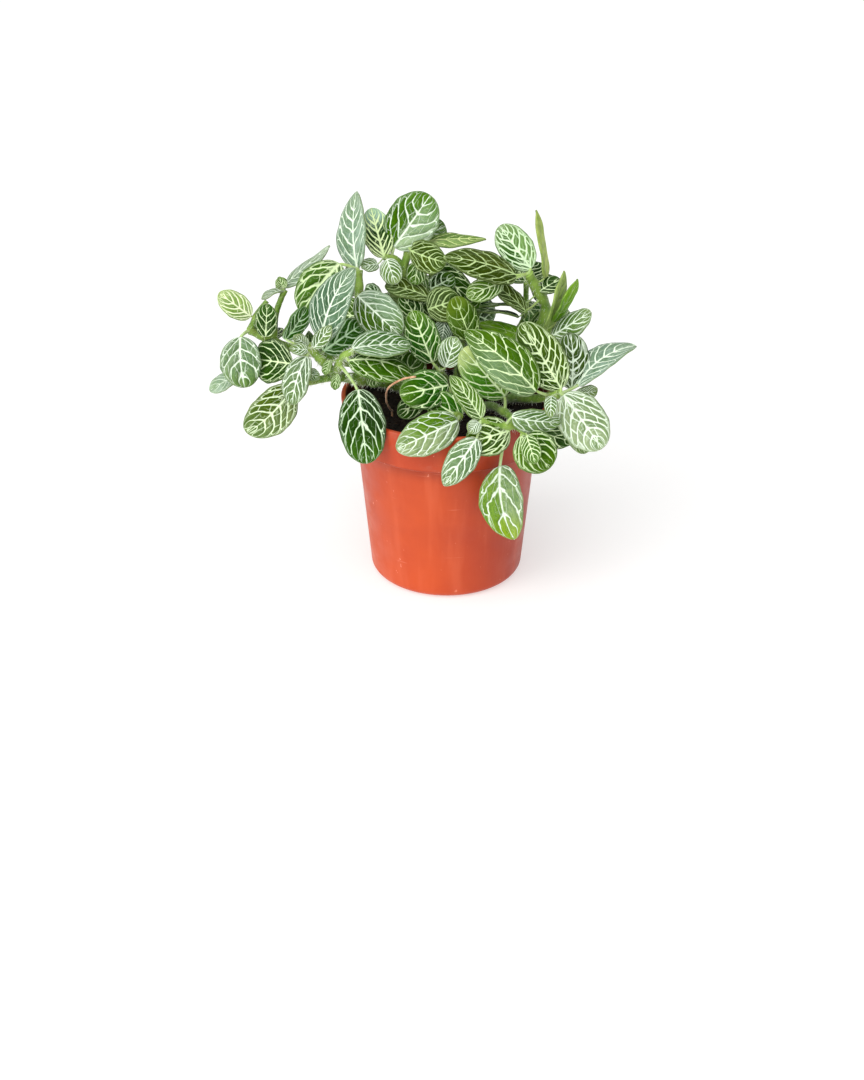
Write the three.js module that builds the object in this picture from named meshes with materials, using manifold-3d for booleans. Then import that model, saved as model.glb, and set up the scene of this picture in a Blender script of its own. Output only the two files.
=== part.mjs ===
// Nerve plant in a small nursery pot. Millimetres, +Z up, origin at the centre of the pot's underside.
import * as THREE from 'three';
import { mergeVertices } from 'three/addons/utils/BufferGeometryUtils.js';
import Module from 'manifold-3d';

const wasm = await Module();
wasm.setup();

// ---------------------------------------------------------------- driving dimensions
const POT_HEIGHT = 55;
const RIM_RADIUS = 30;
const COLLAR_HEIGHT = 11;
const COLLAR_LOW_RADIUS = 29.3;
const BODY_TOP_RADIUS = 26;
const BODY_LOW_RADIUS = 22.2;
const BASE_ROUNDING = 2.5;
const WALL = 1.1;
const LIP = 0.5;
const DRAIN_RADIUS = 1.8;
const DRAIN_CIRCLE = 14;
const DRAIN_COUNT = 4;
const DRAIN_SIDES = 12;
const POT_SIDES = 32;
const SOIL_SIDES = 24;

const SOIL_DROP = 6;
const SOIL_ROUGHNESS = 0.7;
const SOIL_RINGS = [22, 16.5, 11, 5.5, 0];
const GAP = 0.3;
const ROOT_DEPTH = 9;
const ROOT_RISE = 2.4;
const ROOT_LAP = 0.6;
const ROOTLET_DEPTH = 4;
const HOLE_CLEARANCE = 0.45;
const SOIL_TOP = POT_HEIGHT - SOIL_DROP;

const SEAM = 0.01;

const BLADE_THICKNESS = 0.65;
const BLADE_END = 0.45;
const BLADE_WAVE = 0.3;
const BROAD_LEAF = 9;
const STEM_SIDES = 6;
const ROOTLET_SIDES = 4;

const ROOT_COLOUR = 0xc79a6b;
const LEAF_COLOUR = 0x3f7a2c;
const SOIL_COLOUR = 0x1d1511;
const POT_COLOUR = 0xcb5236;

// ---------------------------------------------------------------- measuring the plant
// Points of the plant are sighted past a card that stands square to the line of sight at the rim's
// centre: [across, up] is where a point shows on the card, counted from the rim's centre, and the third
// number is how far it lies behind (+) or in front of (-) the pot's axis.
const SIGHT_DISTANCE = 500;
const SIGHT_TILT = THREE.MathUtils.degToRad(29.4);
const CARD_CENTRE = [4.25, 41.9];

const ahead = new THREE.Vector3(0, Math.cos(SIGHT_TILT), -Math.sin(SIGHT_TILT));
const upward = new THREE.Vector3(0, Math.sin(SIGHT_TILT), Math.cos(SIGHT_TILT));
const eye = new THREE.Vector3(0, 0, POT_HEIGHT)
  .addScaledVector(ahead, -SIGHT_DISTANCE)
  .addScaledVector(upward, -CARD_CENTRE[1]);
eye.x -= CARD_CENTRE[0];

function sight([across, up, back]) {
  const ray = ahead.clone().multiplyScalar(SIGHT_DISTANCE).addScaledVector(upward, CARD_CENTRE[1] + up);
  ray.x += CARD_CENTRE[0] + across;
  return eye.clone().addScaledVector(ray, (back - eye.y) / ray.y);
}

// ---------------------------------------------------------------- the leafy stems
// root: where the stem stands in the soil (x, y). shoots: [radius, points...]; the first starts at the root.
// leaves: [base, tip, width, roll in degrees, fold, arch, bow]. Roll 0 faces the eye, fold lifts the two
// halves into a V, arch is the rise of the midrib over its chord and bow its sideways bend.
const stems = {
  stem_left: {
    root: [-4, 5],
    shoots: [
      [1.8, [-9, 0.8, 3], [-19, 2.8, -5], [-31, 4.5, -12]],
      [1.3, [-31, 4.5, -12], [-36, 9.5, -13], [-39.5, 13.3, -13]],
      [1.1, [-31.5, 5.5, -12.5], [-29.5, 10, -14.5], [-26.5, 11.6, -15]],
      [1.2, [-31, 4.5, -12], [-37, 3.4, -12], [-45.5, 2.2, -12]],
    ],
    leaves: [
      [[-25.2, 0.6, -21], [-22.7, -20.1, -27.5], 12.7, 0, 0.1, 0.06],
      [[-35.4, 14.7, -13], [-26.1, 35.1, -7], 11, -22, 0.2, 0.05, -0.07],
      [[-35, 11.6, -10], [-24.1, 19.3, -1], 9, 0, 0.15, 0.05],
      [[-43.8, 8, -8], [-54.3, 9.4, 0], 12.4, 0, 0.15, 0.05],
      [[-39.8, 10, -15], [-43.8, -3.4, -21], 8.8, 35, 0.2, 0.08],
      [[-45.9, 15, -8], [-40.2, 24.1, -5], 8, 50, 0.2, 0.05],
      [[-43.8, 1.3, -12], [-56.6, -11.5, -18], 11.6, 0, 0.2, 0.06, -0.06],
      [[-26.6, 12.2, -17.5], [-10.4, 13.2, -13], 11, -50, 0.2, 0.04],
      [[-27.8, 8.8, -16], [-9.6, 4.4, -15], 10.5, -38, -0.35, 0.12, -0.04],
      [[-21.8, 5.5, -13], [-19.5, 1.7, -14], 4.5, 0, 0.2, 0.05],
      [[-39.4, 5.7, -14], [-36.2, 3.7, -17], 3.5, 0, 0.3, 0.05],
      [[-31.2, 5, -15], [-31.8, 0.7, -17], 2.8, 0, 0.4, 0.05],
      [[-33, 9, -14], [-34.5, 4.8, -17], 2.8, 30, 0.4, 0.05],
      [[-39.5, 13.3, -13.5], [-43.4, 16, -15], 3.4, 0, 0.4, 0.05],
      [[-14, 2, 0], [-8, 10, 8], 10, 0, 0.15, 0.08],
      [[-37.6, 12.6, -16], [-32.8, 18.8, -15], 4.2, 0, 0.3, 0.05],
      [[-39.6, 12, -15], [-44.6, 12.4, -17], 3.4, 0, 0.4, 0.05],
    ],
  },
  stem_far_left: {
    root: [-14, 12],
    shoots: [
      [1.4, [-20, 6, 10], [-34, 10, 5], [-47, 13.5, 2], [-55.8, 17.6, 1]],
      [1, [-49, 14.2, 2], [-48.5, 22, 3], [-46, 29, 5]],
      [0.9, [-55.8, 17.6, 1], [-53.5, 22.5, 1], [-51, 25.8, 2]],
    ],
    leaves: [
      [[-58.6, 15.5, -2], [-57.3, 1.4, -7], 11.4, 0, 0.15, 0.05, 0.04],
      [[-58.6, 4.8, 1], [-67.1, 0.3, 0], 6, 40, 0.2, 0.05],
      [[-55.6, 21.5, 0], [-64.6, 28, 0], 7, 0, 0.2, 0.05],
      [[-51.4, 15.8, -2.4], [-51, 25, -1.6], 6.4, 0, 0.15, 0.05],
      [[-45.9, 28.9, 5], [-52.4, 26.3, 5], 5, 70, 0.3, 0.05],
      [[-46.4, 29.8, 5], [-33.2, 41.4, 9], 7.6, -62, -0.15, 0],
      [[-46.4, 29.4, 3.5], [-47.6, 32.6, 3], 3.4, 0, 0.4, 0.05],
      [[-30, 9, 7], [-29, 14, 20], 10, 0, 0.15, 0.1],
      [[-40, 12, 4], [-37, 14, 17], 8, 0, 0.15, 0.1],
      [[-50, 14.5, 3], [-49.5, 18, 14], 7, 0, 0.15, 0.1],
    ],
  },
  stem_upper_left: {
    root: [-9, 8],
    shoots: [
      [1.4, [-12.5, 7, 7.5], [-21.5, 17, 2], [-24.6, 26, 1], [-25.2, 34.5, 3]],
    ],
    leaves: [
      [[-25.2, 35.1, 5], [-25.5, 56.7, 17], 11.5, -48, 0.25, 0.04, -0.03],
      [[-25.2, 27.2, -2], [-13.3, 16.1, -8], 11.5, 0, 0.15, 0.08],
      [[-30.6, 36.4, 2], [-41, 22.4, -3], 11.5, 0, 0.15, 0.1, 0.04],
      [[-21, 18, 3], [-20, 21, 17], 10.5, 0, 0.15, 0.1],
      [[-24.5, 30, 3], [-29, 31, 16], 9.5, 0, 0.15, 0.1],
    ],
  },
  stem_top: {
    root: [-1, 12],
    shoots: [
      [1.4, [-4, 12, 10], [-9.5, 26, 10], [-12, 35, 10], [-10.5, 41, 11]],
      [1.1, [-12, 35, 10], [-14.5, 37.5, 9.5], [-17.8, 38.4, 9]],
    ],
    leaves: [
      [[-17.8, 38.3, 9], [-21.5, 52, 14], 8.5, 0, 0.15, 0.05],
      [[-17, 37.6, 7], [-14.6, 30.6, 4], 6.2, 0, 0.15, 0.05],
      [[-19.6, 36.2, 7], [-24.2, 35.2, 4], 4.4, 30, 0.3, 0.05],
      [[-15, 41.1, 10], [-4.8, 55.7, 16], 14.2, 0, 0.12, 0.06],
      [[-12, 41.6, 13], [-0.6, 47, 19], 10, 0, 0.15, 0.05],
      [[-6.2, 42.6, 13], [11, 43.2, 12], 8, -64, 0, 0.02],
      [[-10.2, 40.2, 6], [-0.3, 36.8, 0], 9.5, 25, 0.15, 0.05],
      [[-11, 40, 13], [-7, 42, 27], 11, 0, 0.15, 0.1],
      [[-12, 34, 11.5], [-17.5, 32.5, 25], 8, 0, 0.15, 0.1],
      [[-10, 28, 11], [-13.5, 24, 21], 9, 0, 0.15, 0.1],
    ],
  },
  stem_middle: {
    root: [5, 10],
    shoots: [
      [1.2, [3, 10, 9], [-2, 20, 8], [-3, 28, 8], [-4.5, 35, 8]],
    ],
    leaves: [
      [[-7.8, 36.8, 8.5], [-9, 30.5, 6], 6.5, 25, 0.2, 0.05],
      [[-4, 36.5, 9.5], [7, 26.5, 4], 9, 20, 0.15, 0.1],
      [[-5, 26.5, 5], [-17.5, 30, 6], 8, 45, 0.2, 0.08],
      [[-5.4, 23.5, 2], [3.6, 26.5, 0], 10, 0, 0.15, 0.05],
      [[-4.5, 29.5, 6], [2, 33, 5], 7, 20, 0.15, 0.05],
      [[-8, 20, 1], [-13, 27.5, 3], 7, 20, 0.2, 0.05],
      [[-0.5, 20.5, 1], [-1.5, 14.5, -2], 5.5, 0, 0.2, 0.05],
      [[3, 18.5, 6], [8, 27.5, 7], 8, 0, 0.2, 0.05],
      [[-3, 22, 9], [2, 17, 18], 9, 0, 0.15, 0.1],
    ],
  },
  stem_centre: {
    root: [4, 2],
    shoots: [
      [1.2, [1, 2, -3], [-2, 6, -8]],
      [1, [4.5, 3, 0], [6.5, 10, -3], [6.8, 13.5, -5]],
    ],
    leaves: [
      [[-4.2, 8.5, -8], [-9.9, 22.9, -4], 9.4, 0, 0.12, 0.05],
      [[-0.3, 7.1, -11], [2.3, 15.6, -9], 7, 0, 0.2, 0.05],
      [[6.8, 14.7, -6], [2.2, 26.9, -2], 8.6, 0, 0.15, 0.06],
      [[5, 6, -1], [12, 8, 9], 10, 0, 0.15, 0.08],
    ],
  },
  stem_front: {
    root: [-3, -3],
    shoots: [
      [1.3, [-2, -4.4, -9], [0.5, -4.6, -16], [3.4, -7, -24]],
    ],
    leaves: [
      [[0.3, 2, -17], [-13.2, -0.8, -21], 10.8, 0, 0.1, 0.08],
      [[3, -8, -26], [-14.2, -16.2, -32], 10.8, 0, 0.12, 0.1],
      [[4.2, -7.4, -23], [-5, -2, -19], 9, 0, 0.15, 0.05],
      [[-7, -1.4, -13], [-13.6, -6.8, -17], 6.4, 0, 0.15, 0.05],
    ],
  },
  stem_front_right: {
    root: [11, 0],
    shoots: [
      [1.3, [14, -4.4, -12], [18.3, -7.4, -23], [19.3, -9.6, -27]],
      [1, [19.3, -9.6, -27], [14, -9.4, -29], [9.6, -8, -29.5]],
      [0.9, [19.3, -9.6, -27], [22.5, -11.6, -28.5]],
    ],
    leaves: [
      [[17.6, -11, -28], [5.6, -14.4, -31.5], 10.6, 0, 0.12, 0.14],
      [[8.4, -13.2, -32.5], [-0.8, -26.4, -35], 8.2, 0, 0.15, 0.06],
      [[9.6, -7.6, -28.5], [0.85, 4.5, -22], 7, 30, 0.2, 0.05],
      [[8.8, -8.5, -30], [6.2, -11.6, -33], 4, 0, 0.4, 0.05],
      [[18.4, -7, -29.5], [32.2, -8.4, -26], 7.6, 30, 0.2, 0.05],
      [[21, -12.4, -28.5], [29, -21.5, -33], 12, 0, 0.12, 0.08],
      [[22.6, -12.4, -31], [25, -20.2, -36], 5.4, 0, 0.2, 0.05],
      [[23.5, -10.2, -24], [36, -13.9, -17], 8, 20, 0.15, 0.05],
      [[15, -21, -29.5], [19, -41.6, -30.5], 12, 0, 0.12, 0.04, 0.07],
      [[16.4, -1.1, -17], [4.5, 12.2, -12], 11.5, 0, 0.12, 0.06],
    ],
  },
  stem_right_front: {
    root: [17, 4],
    shoots: [
      [1.5, [19, -1.6, -4], [25.5, -1.8, -15], [32, -0.6, -20]],
    ],
    leaves: [
      [[25.2, 0.3, -21], [5.1, 17.3, -15], 12.2, 0, 0.1, 0.06, 0.04],
      [[32.3, 1.1, -19], [21.2, 19.5, -12], 12, 0, 0.12, 0.06],
      [[35.1, 1.1, -17], [34.8, 16.7, -10], 10.5, 30, 0.12, 0.08],
      [[37.2, 1.9, -17], [53.5, 13, -13], 10, -48, 0.2, 0.08, -0.09],
      [[33.1, -0.85, -21], [43.9, -15.9, -28], 13, 0, 0.1, 0.06],
      [[35.4, -2.3, -18], [39.1, -17.3, -24], 9, 0, 0.12, 0.06],
      [[36.5, -0.3, -17], [42.5, 0.6, -15], 4.5, 30, 0.3, 0.05],
      [[29.5, -1.2, -26], [29.3, -7.4, -31.2], 3.6, 0, 0.3, 0.05],
    ],
  },
  stem_right: {
    root: [20, 9],
    shoots: [
      [1.3, [23, 6, 6], [27, 14, 2], [28.8, 18.5, 1]],
    ],
    leaves: [
      [[27.8, 17.4, -0.5], [33.1, 34.3, 4], 8, 68, 0.2, 0.04],
      [[30, 20, 1], [36.9, 32, 3], 7, 68, 0.1, 0.04],
      [[29.8, 15.8, -1], [40.8, 22.6, -2], 8.2, -38, -0.1, 0],
      [[27, 12, 3], [33, 12, 13], 9.5, 0, 0.15, 0.08],
      [[25.5, 8, 4], [33.5, 7, 11], 9, 0, 0.15, 0.08],
    ],
  },
  stem_upper_right: {
    root: [13, 12],
    shoots: [
      [1.6, [17, 8, 10], [24, 16, 8], [28, 23, 7], [25, 30, 6], [23, 33.5, 5]],
    ],
    leaves: [
      [[19.5, 33.1, 3], [-0.85, 38.2, -4], 11, 42, -0.1, 0.06],
      [[23.8, 35.1, 6], [15, 47, 11], 9.5, 0, 0.15, 0.05],
      [[27.9, 32.4, 6], [25.2, 51.5, 12], 6.2, 71, 0.1, 0.02],
      [[26.2, 28.5, 5], [32, 31.8, 8], 5.6, -25, 0.2, 0.05],
      [[15.6, 30.9, 0], [5.7, 26.9, -4], 7, 20, 0.15, 0.05],
      [[22.1, 22.9, 2], [13.3, 30.3, 3], 7, 50, 0.15, 0.05],
      [[21, 24.2, 4], [9.3, 24.1, 3], 4.4, 80, 0.2, 0.05],
      [[20.4, 21.3, 2], [7, 22.9, 0], 4.6, 78, 0.15, 0.05],
      [[21.5, 15.6, 4], [8.5, 19, 3], 6.4, 50, 0.1, 0.05],
      [[24, 31, 8], [28.5, 29, 18], 8.5, 0, 0.15, 0.1],
      [[26.5, 23, 9], [27.5, 15, 19], 9, 0, 0.15, 0.1],
      [[19, 13, 10], [14, 12, 22], 10, 0, 0.15, 0.1],
    ],
  },
  stem_back_left: {
    root: [-8, 16],
    shoots: [
      [1.3, [-12, 11.9, 22], [-17, 18, 30], [-21.5, 21.4, 36]],
      [1, [-12.5, 12.5, 22.5], [-15.5, 19, 22], [-18, 25, 23]],
    ],
    leaves: [
      [[-21.5, 21.4, 36], [-33, 22, 44], 11, 0, 0.15, 0.08],
      [[-20, 21.4, 37], [-16.5, 26.3, 52], 11.5, 0, 0.15, 0.1],
      [[-14, 14.5, 25], [-28, 19.9, 28], 11, -30, 0.15, 0.08],
      [[-13, 15, 26], [-3.8, 24.1, 37], 10.5, 0, 0.15, 0.08],
      [[-19, 18, 33], [-22, 11, 44], 10.5, 0, 0.15, 0.1],
      [[-16.5, 18.5, 29], [-17, 28, 33], 8.5, 0, 0.2, 0.05],
      [[-12.5, 15, 24], [-6, 18, 34], 10, 0, 0.15, 0.1],
      [[-18, 25.5, 23.5], [-23.5, 27, 34], 9, 0, 0.15, 0.1],
      [[-17.5, 25, 23.5], [-14, 25.5, 34], 9, 0, 0.15, 0.1],
      [[-16, 20, 22.5], [-21, 17, 32], 9, 0, 0.15, 0.1],
    ],
  },
  stem_back: {
    root: [3, 18],
    shoots: [
      [1.3, [4, 12.7, 25], [4, 20.1, 33], [3, 24.4, 41]],
      [1, [4, 13.5, 26], [1, 21, 23], [-2.5, 28, 23]],
    ],
    leaves: [
      [[2.5, 24.4, 41], [-8, 26.2, 54], 11, 0, 0.15, 0.08],
      [[3.5, 24, 41], [12.7, 19.9, 52], 11.5, 0, 0.15, 0.1],
      [[4, 17.8, 30], [13, 15, 29], 9.6, 20, 0.15, 0.08],
      [[3.5, 15.5, 28], [-8.5, 25.3, 31], 10, -20, 0.15, 0.08],
      [[3, 24.5, 41], [0, 31.5, 46], 7, 0, 0.2, 0.05],
      [[4, 19, 32], [9, 8, 40], 10.5, 0, 0.15, 0.1],
      [[-2.5, 28, 23.5], [-7, 29, 35], 9, 0, 0.15, 0.1],
      [[-2, 28, 23.5], [3, 28, 34], 9, 0, 0.15, 0.1],
      [[0, 22.5, 23], [7, 19, 31], 8.5, 0, 0.15, 0.1],
    ],
  },
  stem_back_right: {
    root: [12, 19],
    shoots: [
      [1.3, [17.5, 15, 26], [23.5, 18.4, 32], [28.5, 19.6, 36]],
      [1, [18.5, 15.5, 27], [21.8, 21, 22], [22.5, 31, 20]],
    ],
    leaves: [
      [[28.5, 19.6, 36], [34.8, 19.6, 47], 10, 0, 0.15, 0.08],
      [[27.5, 19.6, 37], [22, 20, 50], 11, 0, 0.15, 0.1],
      [[17.5, 14, 28], [12, 15.5, 43], 7.5, 0, 0.15, 0.08],
      [[21, 16.5, 29], [32, 17.8, 24], 9.5, 0, 0.15, 0.05],
      [[25.5, 18.6, 34], [33.5, 9.4, 41], 10.5, 0, 0.15, 0.1],
      [[24, 18, 32.5], [17.5, 8, 41], 10, 0, 0.15, 0.1],
      [[22.5, 31.5, 20], [17.5, 38, 30], 9, 0, 0.15, 0.1],
      [[22.5, 31, 20], [24, 37, 31], 8.5, 0, 0.15, 0.1],
      [[22, 25, 21.5], [28, 18, 29], 8.5, 0, 0.15, 0.1],
    ],
  },
};

const aerialRoot = {
  radius: 0.4,
  foot: [-15.5, -4.5],
  points: [[-16, -5, -8], [-17.2, -2, -15], [-16.4, 1.4, -19.5], [-12.5, 3.7, -21.5], [-8.8, 4.4, -22.5]],
};

// ---------------------------------------------------------------- solids
function solid(geometry) {
  const plain = new THREE.BufferGeometry();
  plain.setAttribute('position', geometry.attributes.position.clone());
  if (geometry.index) {
    plain.setIndex(geometry.index.clone());
  }
  const merged = mergeVertices(plain, 1e-4);
  const corners = merged.index.array;
  const kept = [];
  for (let i = 0; i < corners.length; i += 3) {
    const [a, b, c] = [corners[i], corners[i + 1], corners[i + 2]];
    if (a !== b && b !== c && c !== a) {
      kept.push(a, b, c);
    }
  }
  return new wasm.Manifold(new wasm.Mesh({
    numProp: 3,
    vertProperties: merged.attributes.position.array,
    triVerts: new Uint32Array(kept),
  }));
}

function geometryOf(body) {
  const { vertProperties, triVerts } = body.getMesh();
  const geometry = new THREE.BufferGeometry();
  geometry.setAttribute('position', new THREE.BufferAttribute(vertProperties, 3));
  geometry.setIndex(new THREE.BufferAttribute(triVerts, 1));
  return geometry;
}

// Joined pieces as one body: a scrap that holds to nothing and a sealed hollow both fall away, and the
// slivers along the seams close up.
function fuse(pieces) {
  const bodies = pieces.reduce((sum, piece) => sum.add(piece)).decompose();
  bodies.sort((a, b) => b.volume() - a.volume());
  return bodies[0].asOriginal().simplify(SEAM);
}

function post(x, y, low, high, radius, sides = STEM_SIDES) {
  const geometry = new THREE.CylinderGeometry(radius, radius, high - low, sides);
  geometry.rotateX(Math.PI / 2);
  geometry.translate(x, y, (low + high) / 2);
  return solid(geometry);
}

function tube(points, radius, sides) {
  const path = new THREE.CatmullRomCurve3(points, false, 'centripetal');
  const ring = Array.from({ length: sides }, (_, i) => {
    const turn = (2 * Math.PI * i) / sides;
    return new THREE.Vector2(radius * Math.cos(turn), radius * Math.sin(turn));
  });
  const steps = points.length > 2 ? points.length : 1;
  const options = { steps, bevelEnabled: false, extrudePath: path };
  return { path, body: solid(new THREE.ExtrudeGeometry(new THREE.Shape(ring), options)) };
}

// Half-width of a leaf along its length, 0 to 1: an egg shape, and the slimmer the leaf the sharper
// its tip. Breadth is width over length.
const BASE_POWER = 0.48;
const SHARP_TIP_POWER = 0.76;
const ROUND_TIP_POWER = 0.5;
const SLIM_BREADTH = 0.45;
const ROUND_BREADTH = 0.65;

function outline(along, breadth) {
  const roundness = THREE.MathUtils.smoothstep(breadth, SLIM_BREADTH, ROUND_BREADTH);
  const tipPower = THREE.MathUtils.lerp(SHARP_TIP_POWER, ROUND_TIP_POWER, roundness);
  const egg = (spot) => spot ** BASE_POWER * (1 - spot) ** tipPower;
  return egg(along) / egg(BASE_POWER / (BASE_POWER + tipPower));
}

// One blade with its stalk, which starts at its foot inside the stem.
function blade(foot, base, tip, width, roll, fold, arch, bow = 0) {
  const length = base.distanceTo(tip);
  const axis = tip.clone().sub(base).normalize();
  const face = eye.clone().sub(base);
  face.addScaledVector(axis, -face.dot(axis)).normalize();
  face.applyAxisAngle(axis, THREE.MathUtils.degToRad(roll));
  const side = axis.clone().cross(face);
  const stalkFace = side.clone().cross(base.clone().sub(foot)).normalize();
  const bendFace = stalkFace.clone().add(face).normalize();

  const rows = width > BROAD_LEAF ? 4 : 3;
  const halves = width > BROAD_LEAF ? [-1, -0.55, 0, 0.55, 1] : [-1, 0, 1];
  const points = [];
  for (const level of [BLADE_THICKNESS / 2, -BLADE_THICKNESS / 2]) {
    for (const across of halves) {
      points.push(foot.clone().addScaledVector(side, across * BLADE_END).addScaledVector(stalkFace, level));
    }
    for (let row = 0; row <= rows; row += 1) {
      const along = (1 - Math.cos((Math.PI * row) / rows)) / 2;
      const half = Math.max((width / 2) * outline(along, width / length), BLADE_END);
      for (const across of halves) {
        const lift = arch * length * 4 * along * (1 - along)
          + fold * half * Math.abs(across)
          + BLADE_WAVE * Math.sin(8 * along + across) * across * across;
        points.push(base.clone()
          .addScaledVector(axis, along * length)
          .addScaledVector(side, across * half + bow * length * 4 * along * (1 - along))
          .addScaledVector(face, row > 0 ? lift : 0)
          .addScaledVector(row > 0 ? face : bendFace, level));
      }
    }
  }

  const columns = halves.length;
  const strips = rows + 1;
  const under = (strips + 1) * columns;
  const corners = [];
  const quad = (a, b, c, d) => corners.push(a, b, c, a, c, d);
  for (let strip = 0; strip < strips; strip += 1) {
    for (let column = 0; column < columns - 1; column += 1) {
      const a = strip * columns + column;
      const [b, c, d] = [a + 1, a + columns + 1, a + columns];
      quad(a, b, c, d);
      corners.push(under + a, under + c, under + b, under + a, under + d, under + c);
    }
    const left = strip * columns;
    const right = left + columns - 1;
    quad(left, left + columns, under + left + columns, under + left);
    quad(right + columns, right, under + right, under + right + columns);
  }
  for (let column = 0; column < columns - 1; column += 1) {
    const last = strips * columns + column;
    quad(column + 1, column, under + column, under + column + 1);
    quad(last, last + 1, under + last + 1, under + last);
  }
  const geometry = new THREE.BufferGeometry().setFromPoints(points);
  geometry.setIndex(corners);
  return solid(geometry);
}

function nearest(paths, point) {
  const candidates = paths.flatMap((path) => path.getPoints(24));
  candidates.sort((a, b) => a.distanceTo(point) - b.distanceTo(point));
  return candidates[0];
}

function leafyStem({ root, shoots, leaves }) {
  const [x, y] = root;
  const stemRadius = shoots[0][0];
  const pieces = [post(x, y, SOIL_TOP - ROOT_DEPTH, SOIL_TOP + ROOT_RISE, stemRadius)];
  const paths = [];
  shoots.forEach(([radius, ...route], order) => {
    const points = route.map(sight);
    if (order === 0) {
      points.unshift(new THREE.Vector3(x, y, SOIL_TOP + ROOT_RISE - ROOT_LAP));
    }
    const shoot = tube(points, radius, STEM_SIDES);
    pieces.push(shoot.body);
    paths.push(shoot.path);
  });
  for (const [base, tip, ...form] of leaves) {
    const foot = nearest(paths, sight(base));
    pieces.push(blade(foot, sight(base), sight(tip), ...form));
  }
  return fuse(pieces);
}

// ---------------------------------------------------------------- pot and soil
function turned(profile, sides = POT_SIDES) {
  const geometry = new THREE.LatheGeometry(profile.map(([r, z]) => new THREE.Vector2(r, z)), sides);
  geometry.rotateX(Math.PI / 2);
  return geometry;
}

const innerTaper = (BODY_TOP_RADIUS - BODY_LOW_RADIUS) / (POT_HEIGHT - COLLAR_HEIGHT - BASE_ROUNDING);
const COLLAR_LOW = POT_HEIGHT - COLLAR_HEIGHT;
const COLLAR_STEP = 1.2;

function wallRadius(z) {
  return BODY_LOW_RADIUS - WALL + innerTaper * (z - BASE_ROUNDING);
}

function pot() {
  const rounding = [0, 45, 90].map((degrees) => {
    const turn = THREE.MathUtils.degToRad(degrees);
    const centre = BODY_LOW_RADIUS - BASE_ROUNDING;
    return [centre + BASE_ROUNDING * Math.sin(turn), BASE_ROUNDING * (1 - Math.cos(turn))];
  });
  const profile = [
    [0, 0],
    ...rounding,
    [BODY_TOP_RADIUS, COLLAR_LOW],
    [COLLAR_LOW_RADIUS - LIP, COLLAR_LOW],
    [COLLAR_LOW_RADIUS, COLLAR_LOW + LIP],
    [RIM_RADIUS, POT_HEIGHT - LIP],
    [RIM_RADIUS - LIP, POT_HEIGHT],
    [RIM_RADIUS - WALL, POT_HEIGHT],
    [RIM_RADIUS - WALL - LIP, POT_HEIGHT - LIP],
    [COLLAR_LOW_RADIUS - WALL - LIP, COLLAR_LOW + COLLAR_STEP + LIP],
    [wallRadius(COLLAR_LOW), COLLAR_LOW + COLLAR_STEP],
    [wallRadius(WALL), WALL],
    [0, WALL],
  ];
  let body = solid(turned(profile));
  for (let i = 0; i < DRAIN_COUNT; i += 1) {
    const turn = (2 * Math.PI * (i + 0.5)) / DRAIN_COUNT;
    const [x, y] = [DRAIN_CIRCLE * Math.cos(turn), DRAIN_CIRCLE * Math.sin(turn)];
    body = body.subtract(post(x, y, -1, WALL + 1, DRAIN_RADIUS, DRAIN_SIDES));
  }
  return body;
}

function soil() {
  const floor = WALL + GAP;
  const crest = wallRadius(COLLAR_LOW) - GAP;
  const ledge = COLLAR_LOW + COLLAR_STEP + GAP + LIP;
  const brim = COLLAR_LOW_RADIUS - WALL - LIP - GAP - 0.1;
  const geometry = turned([
    [0, floor],
    [wallRadius(floor) - GAP, floor],
    [crest, COLLAR_LOW + COLLAR_STEP],
    [brim - LIP, ledge],
    [brim, ledge + LIP],
    [brim, SOIL_TOP],
    ...SOIL_RINGS.map((radius) => [radius, SOIL_TOP]),
  ], SOIL_SIDES);
  const { position } = geometry.attributes;
  for (let i = 0; i < position.count; i += 1) {
    const [x, y, z] = [position.getX(i), position.getY(i), position.getZ(i)];
    if (z > SOIL_TOP - 0.1 && Math.hypot(x, y) < brim - 1) {
      position.setZ(i, z + SOIL_ROUGHNESS * Math.sin(0.45 * x + 1) * Math.cos(0.38 * y));
    }
  }
  let body = solid(geometry);
  for (const { root: [x, y], shoots: [[radius]] } of Object.values(stems)) {
    body = body.subtract(post(x, y, SOIL_TOP - ROOT_DEPTH - GAP, POT_HEIGHT, radius + HOLE_CLEARANCE));
  }
  const [x, y] = aerialRoot.foot;
  const bore = aerialRoot.radius + HOLE_CLEARANCE;
  return body.subtract(post(x, y, SOIL_TOP - ROOTLET_DEPTH - GAP, POT_HEIGHT, bore));
}

function rootlet({ radius, foot: [x, y], points }) {
  const start = new THREE.Vector3(x, y, SOIL_TOP + ROOT_RISE);
  const { body } = tube([start, ...points.map(sight)], radius, ROOTLET_SIDES);
  return fuse([post(x, y, SOIL_TOP - ROOTLET_DEPTH, SOIL_TOP + ROOT_RISE + ROOT_LAP, radius), body]);
}

// ---------------------------------------------------------------- assembly
const group = new THREE.Group();

function place(name, body, color, roughness) {
  const material = new THREE.MeshStandardMaterial({ color, roughness, metalness: 0 });
  const mesh = new THREE.Mesh(geometryOf(body), material);
  mesh.name = name;
  group.add(mesh);
}

place('pot', pot(), POT_COLOUR, 0.45);
place('soil', soil(), SOIL_COLOUR, 0.95);
place('aerial_root', rootlet(aerialRoot), ROOT_COLOUR, 0.7);
for (const [name, stem] of Object.entries(stems)) {
  place(name, leafyStem(stem), LEAF_COLOUR, 0.5);
}

export default group;
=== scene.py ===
"""Nerve plant in a small nursery pot: veined leaves, hairy stems, soil and pot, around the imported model."""
import math
import random

import bpy
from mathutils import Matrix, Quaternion, Vector, noise


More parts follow.
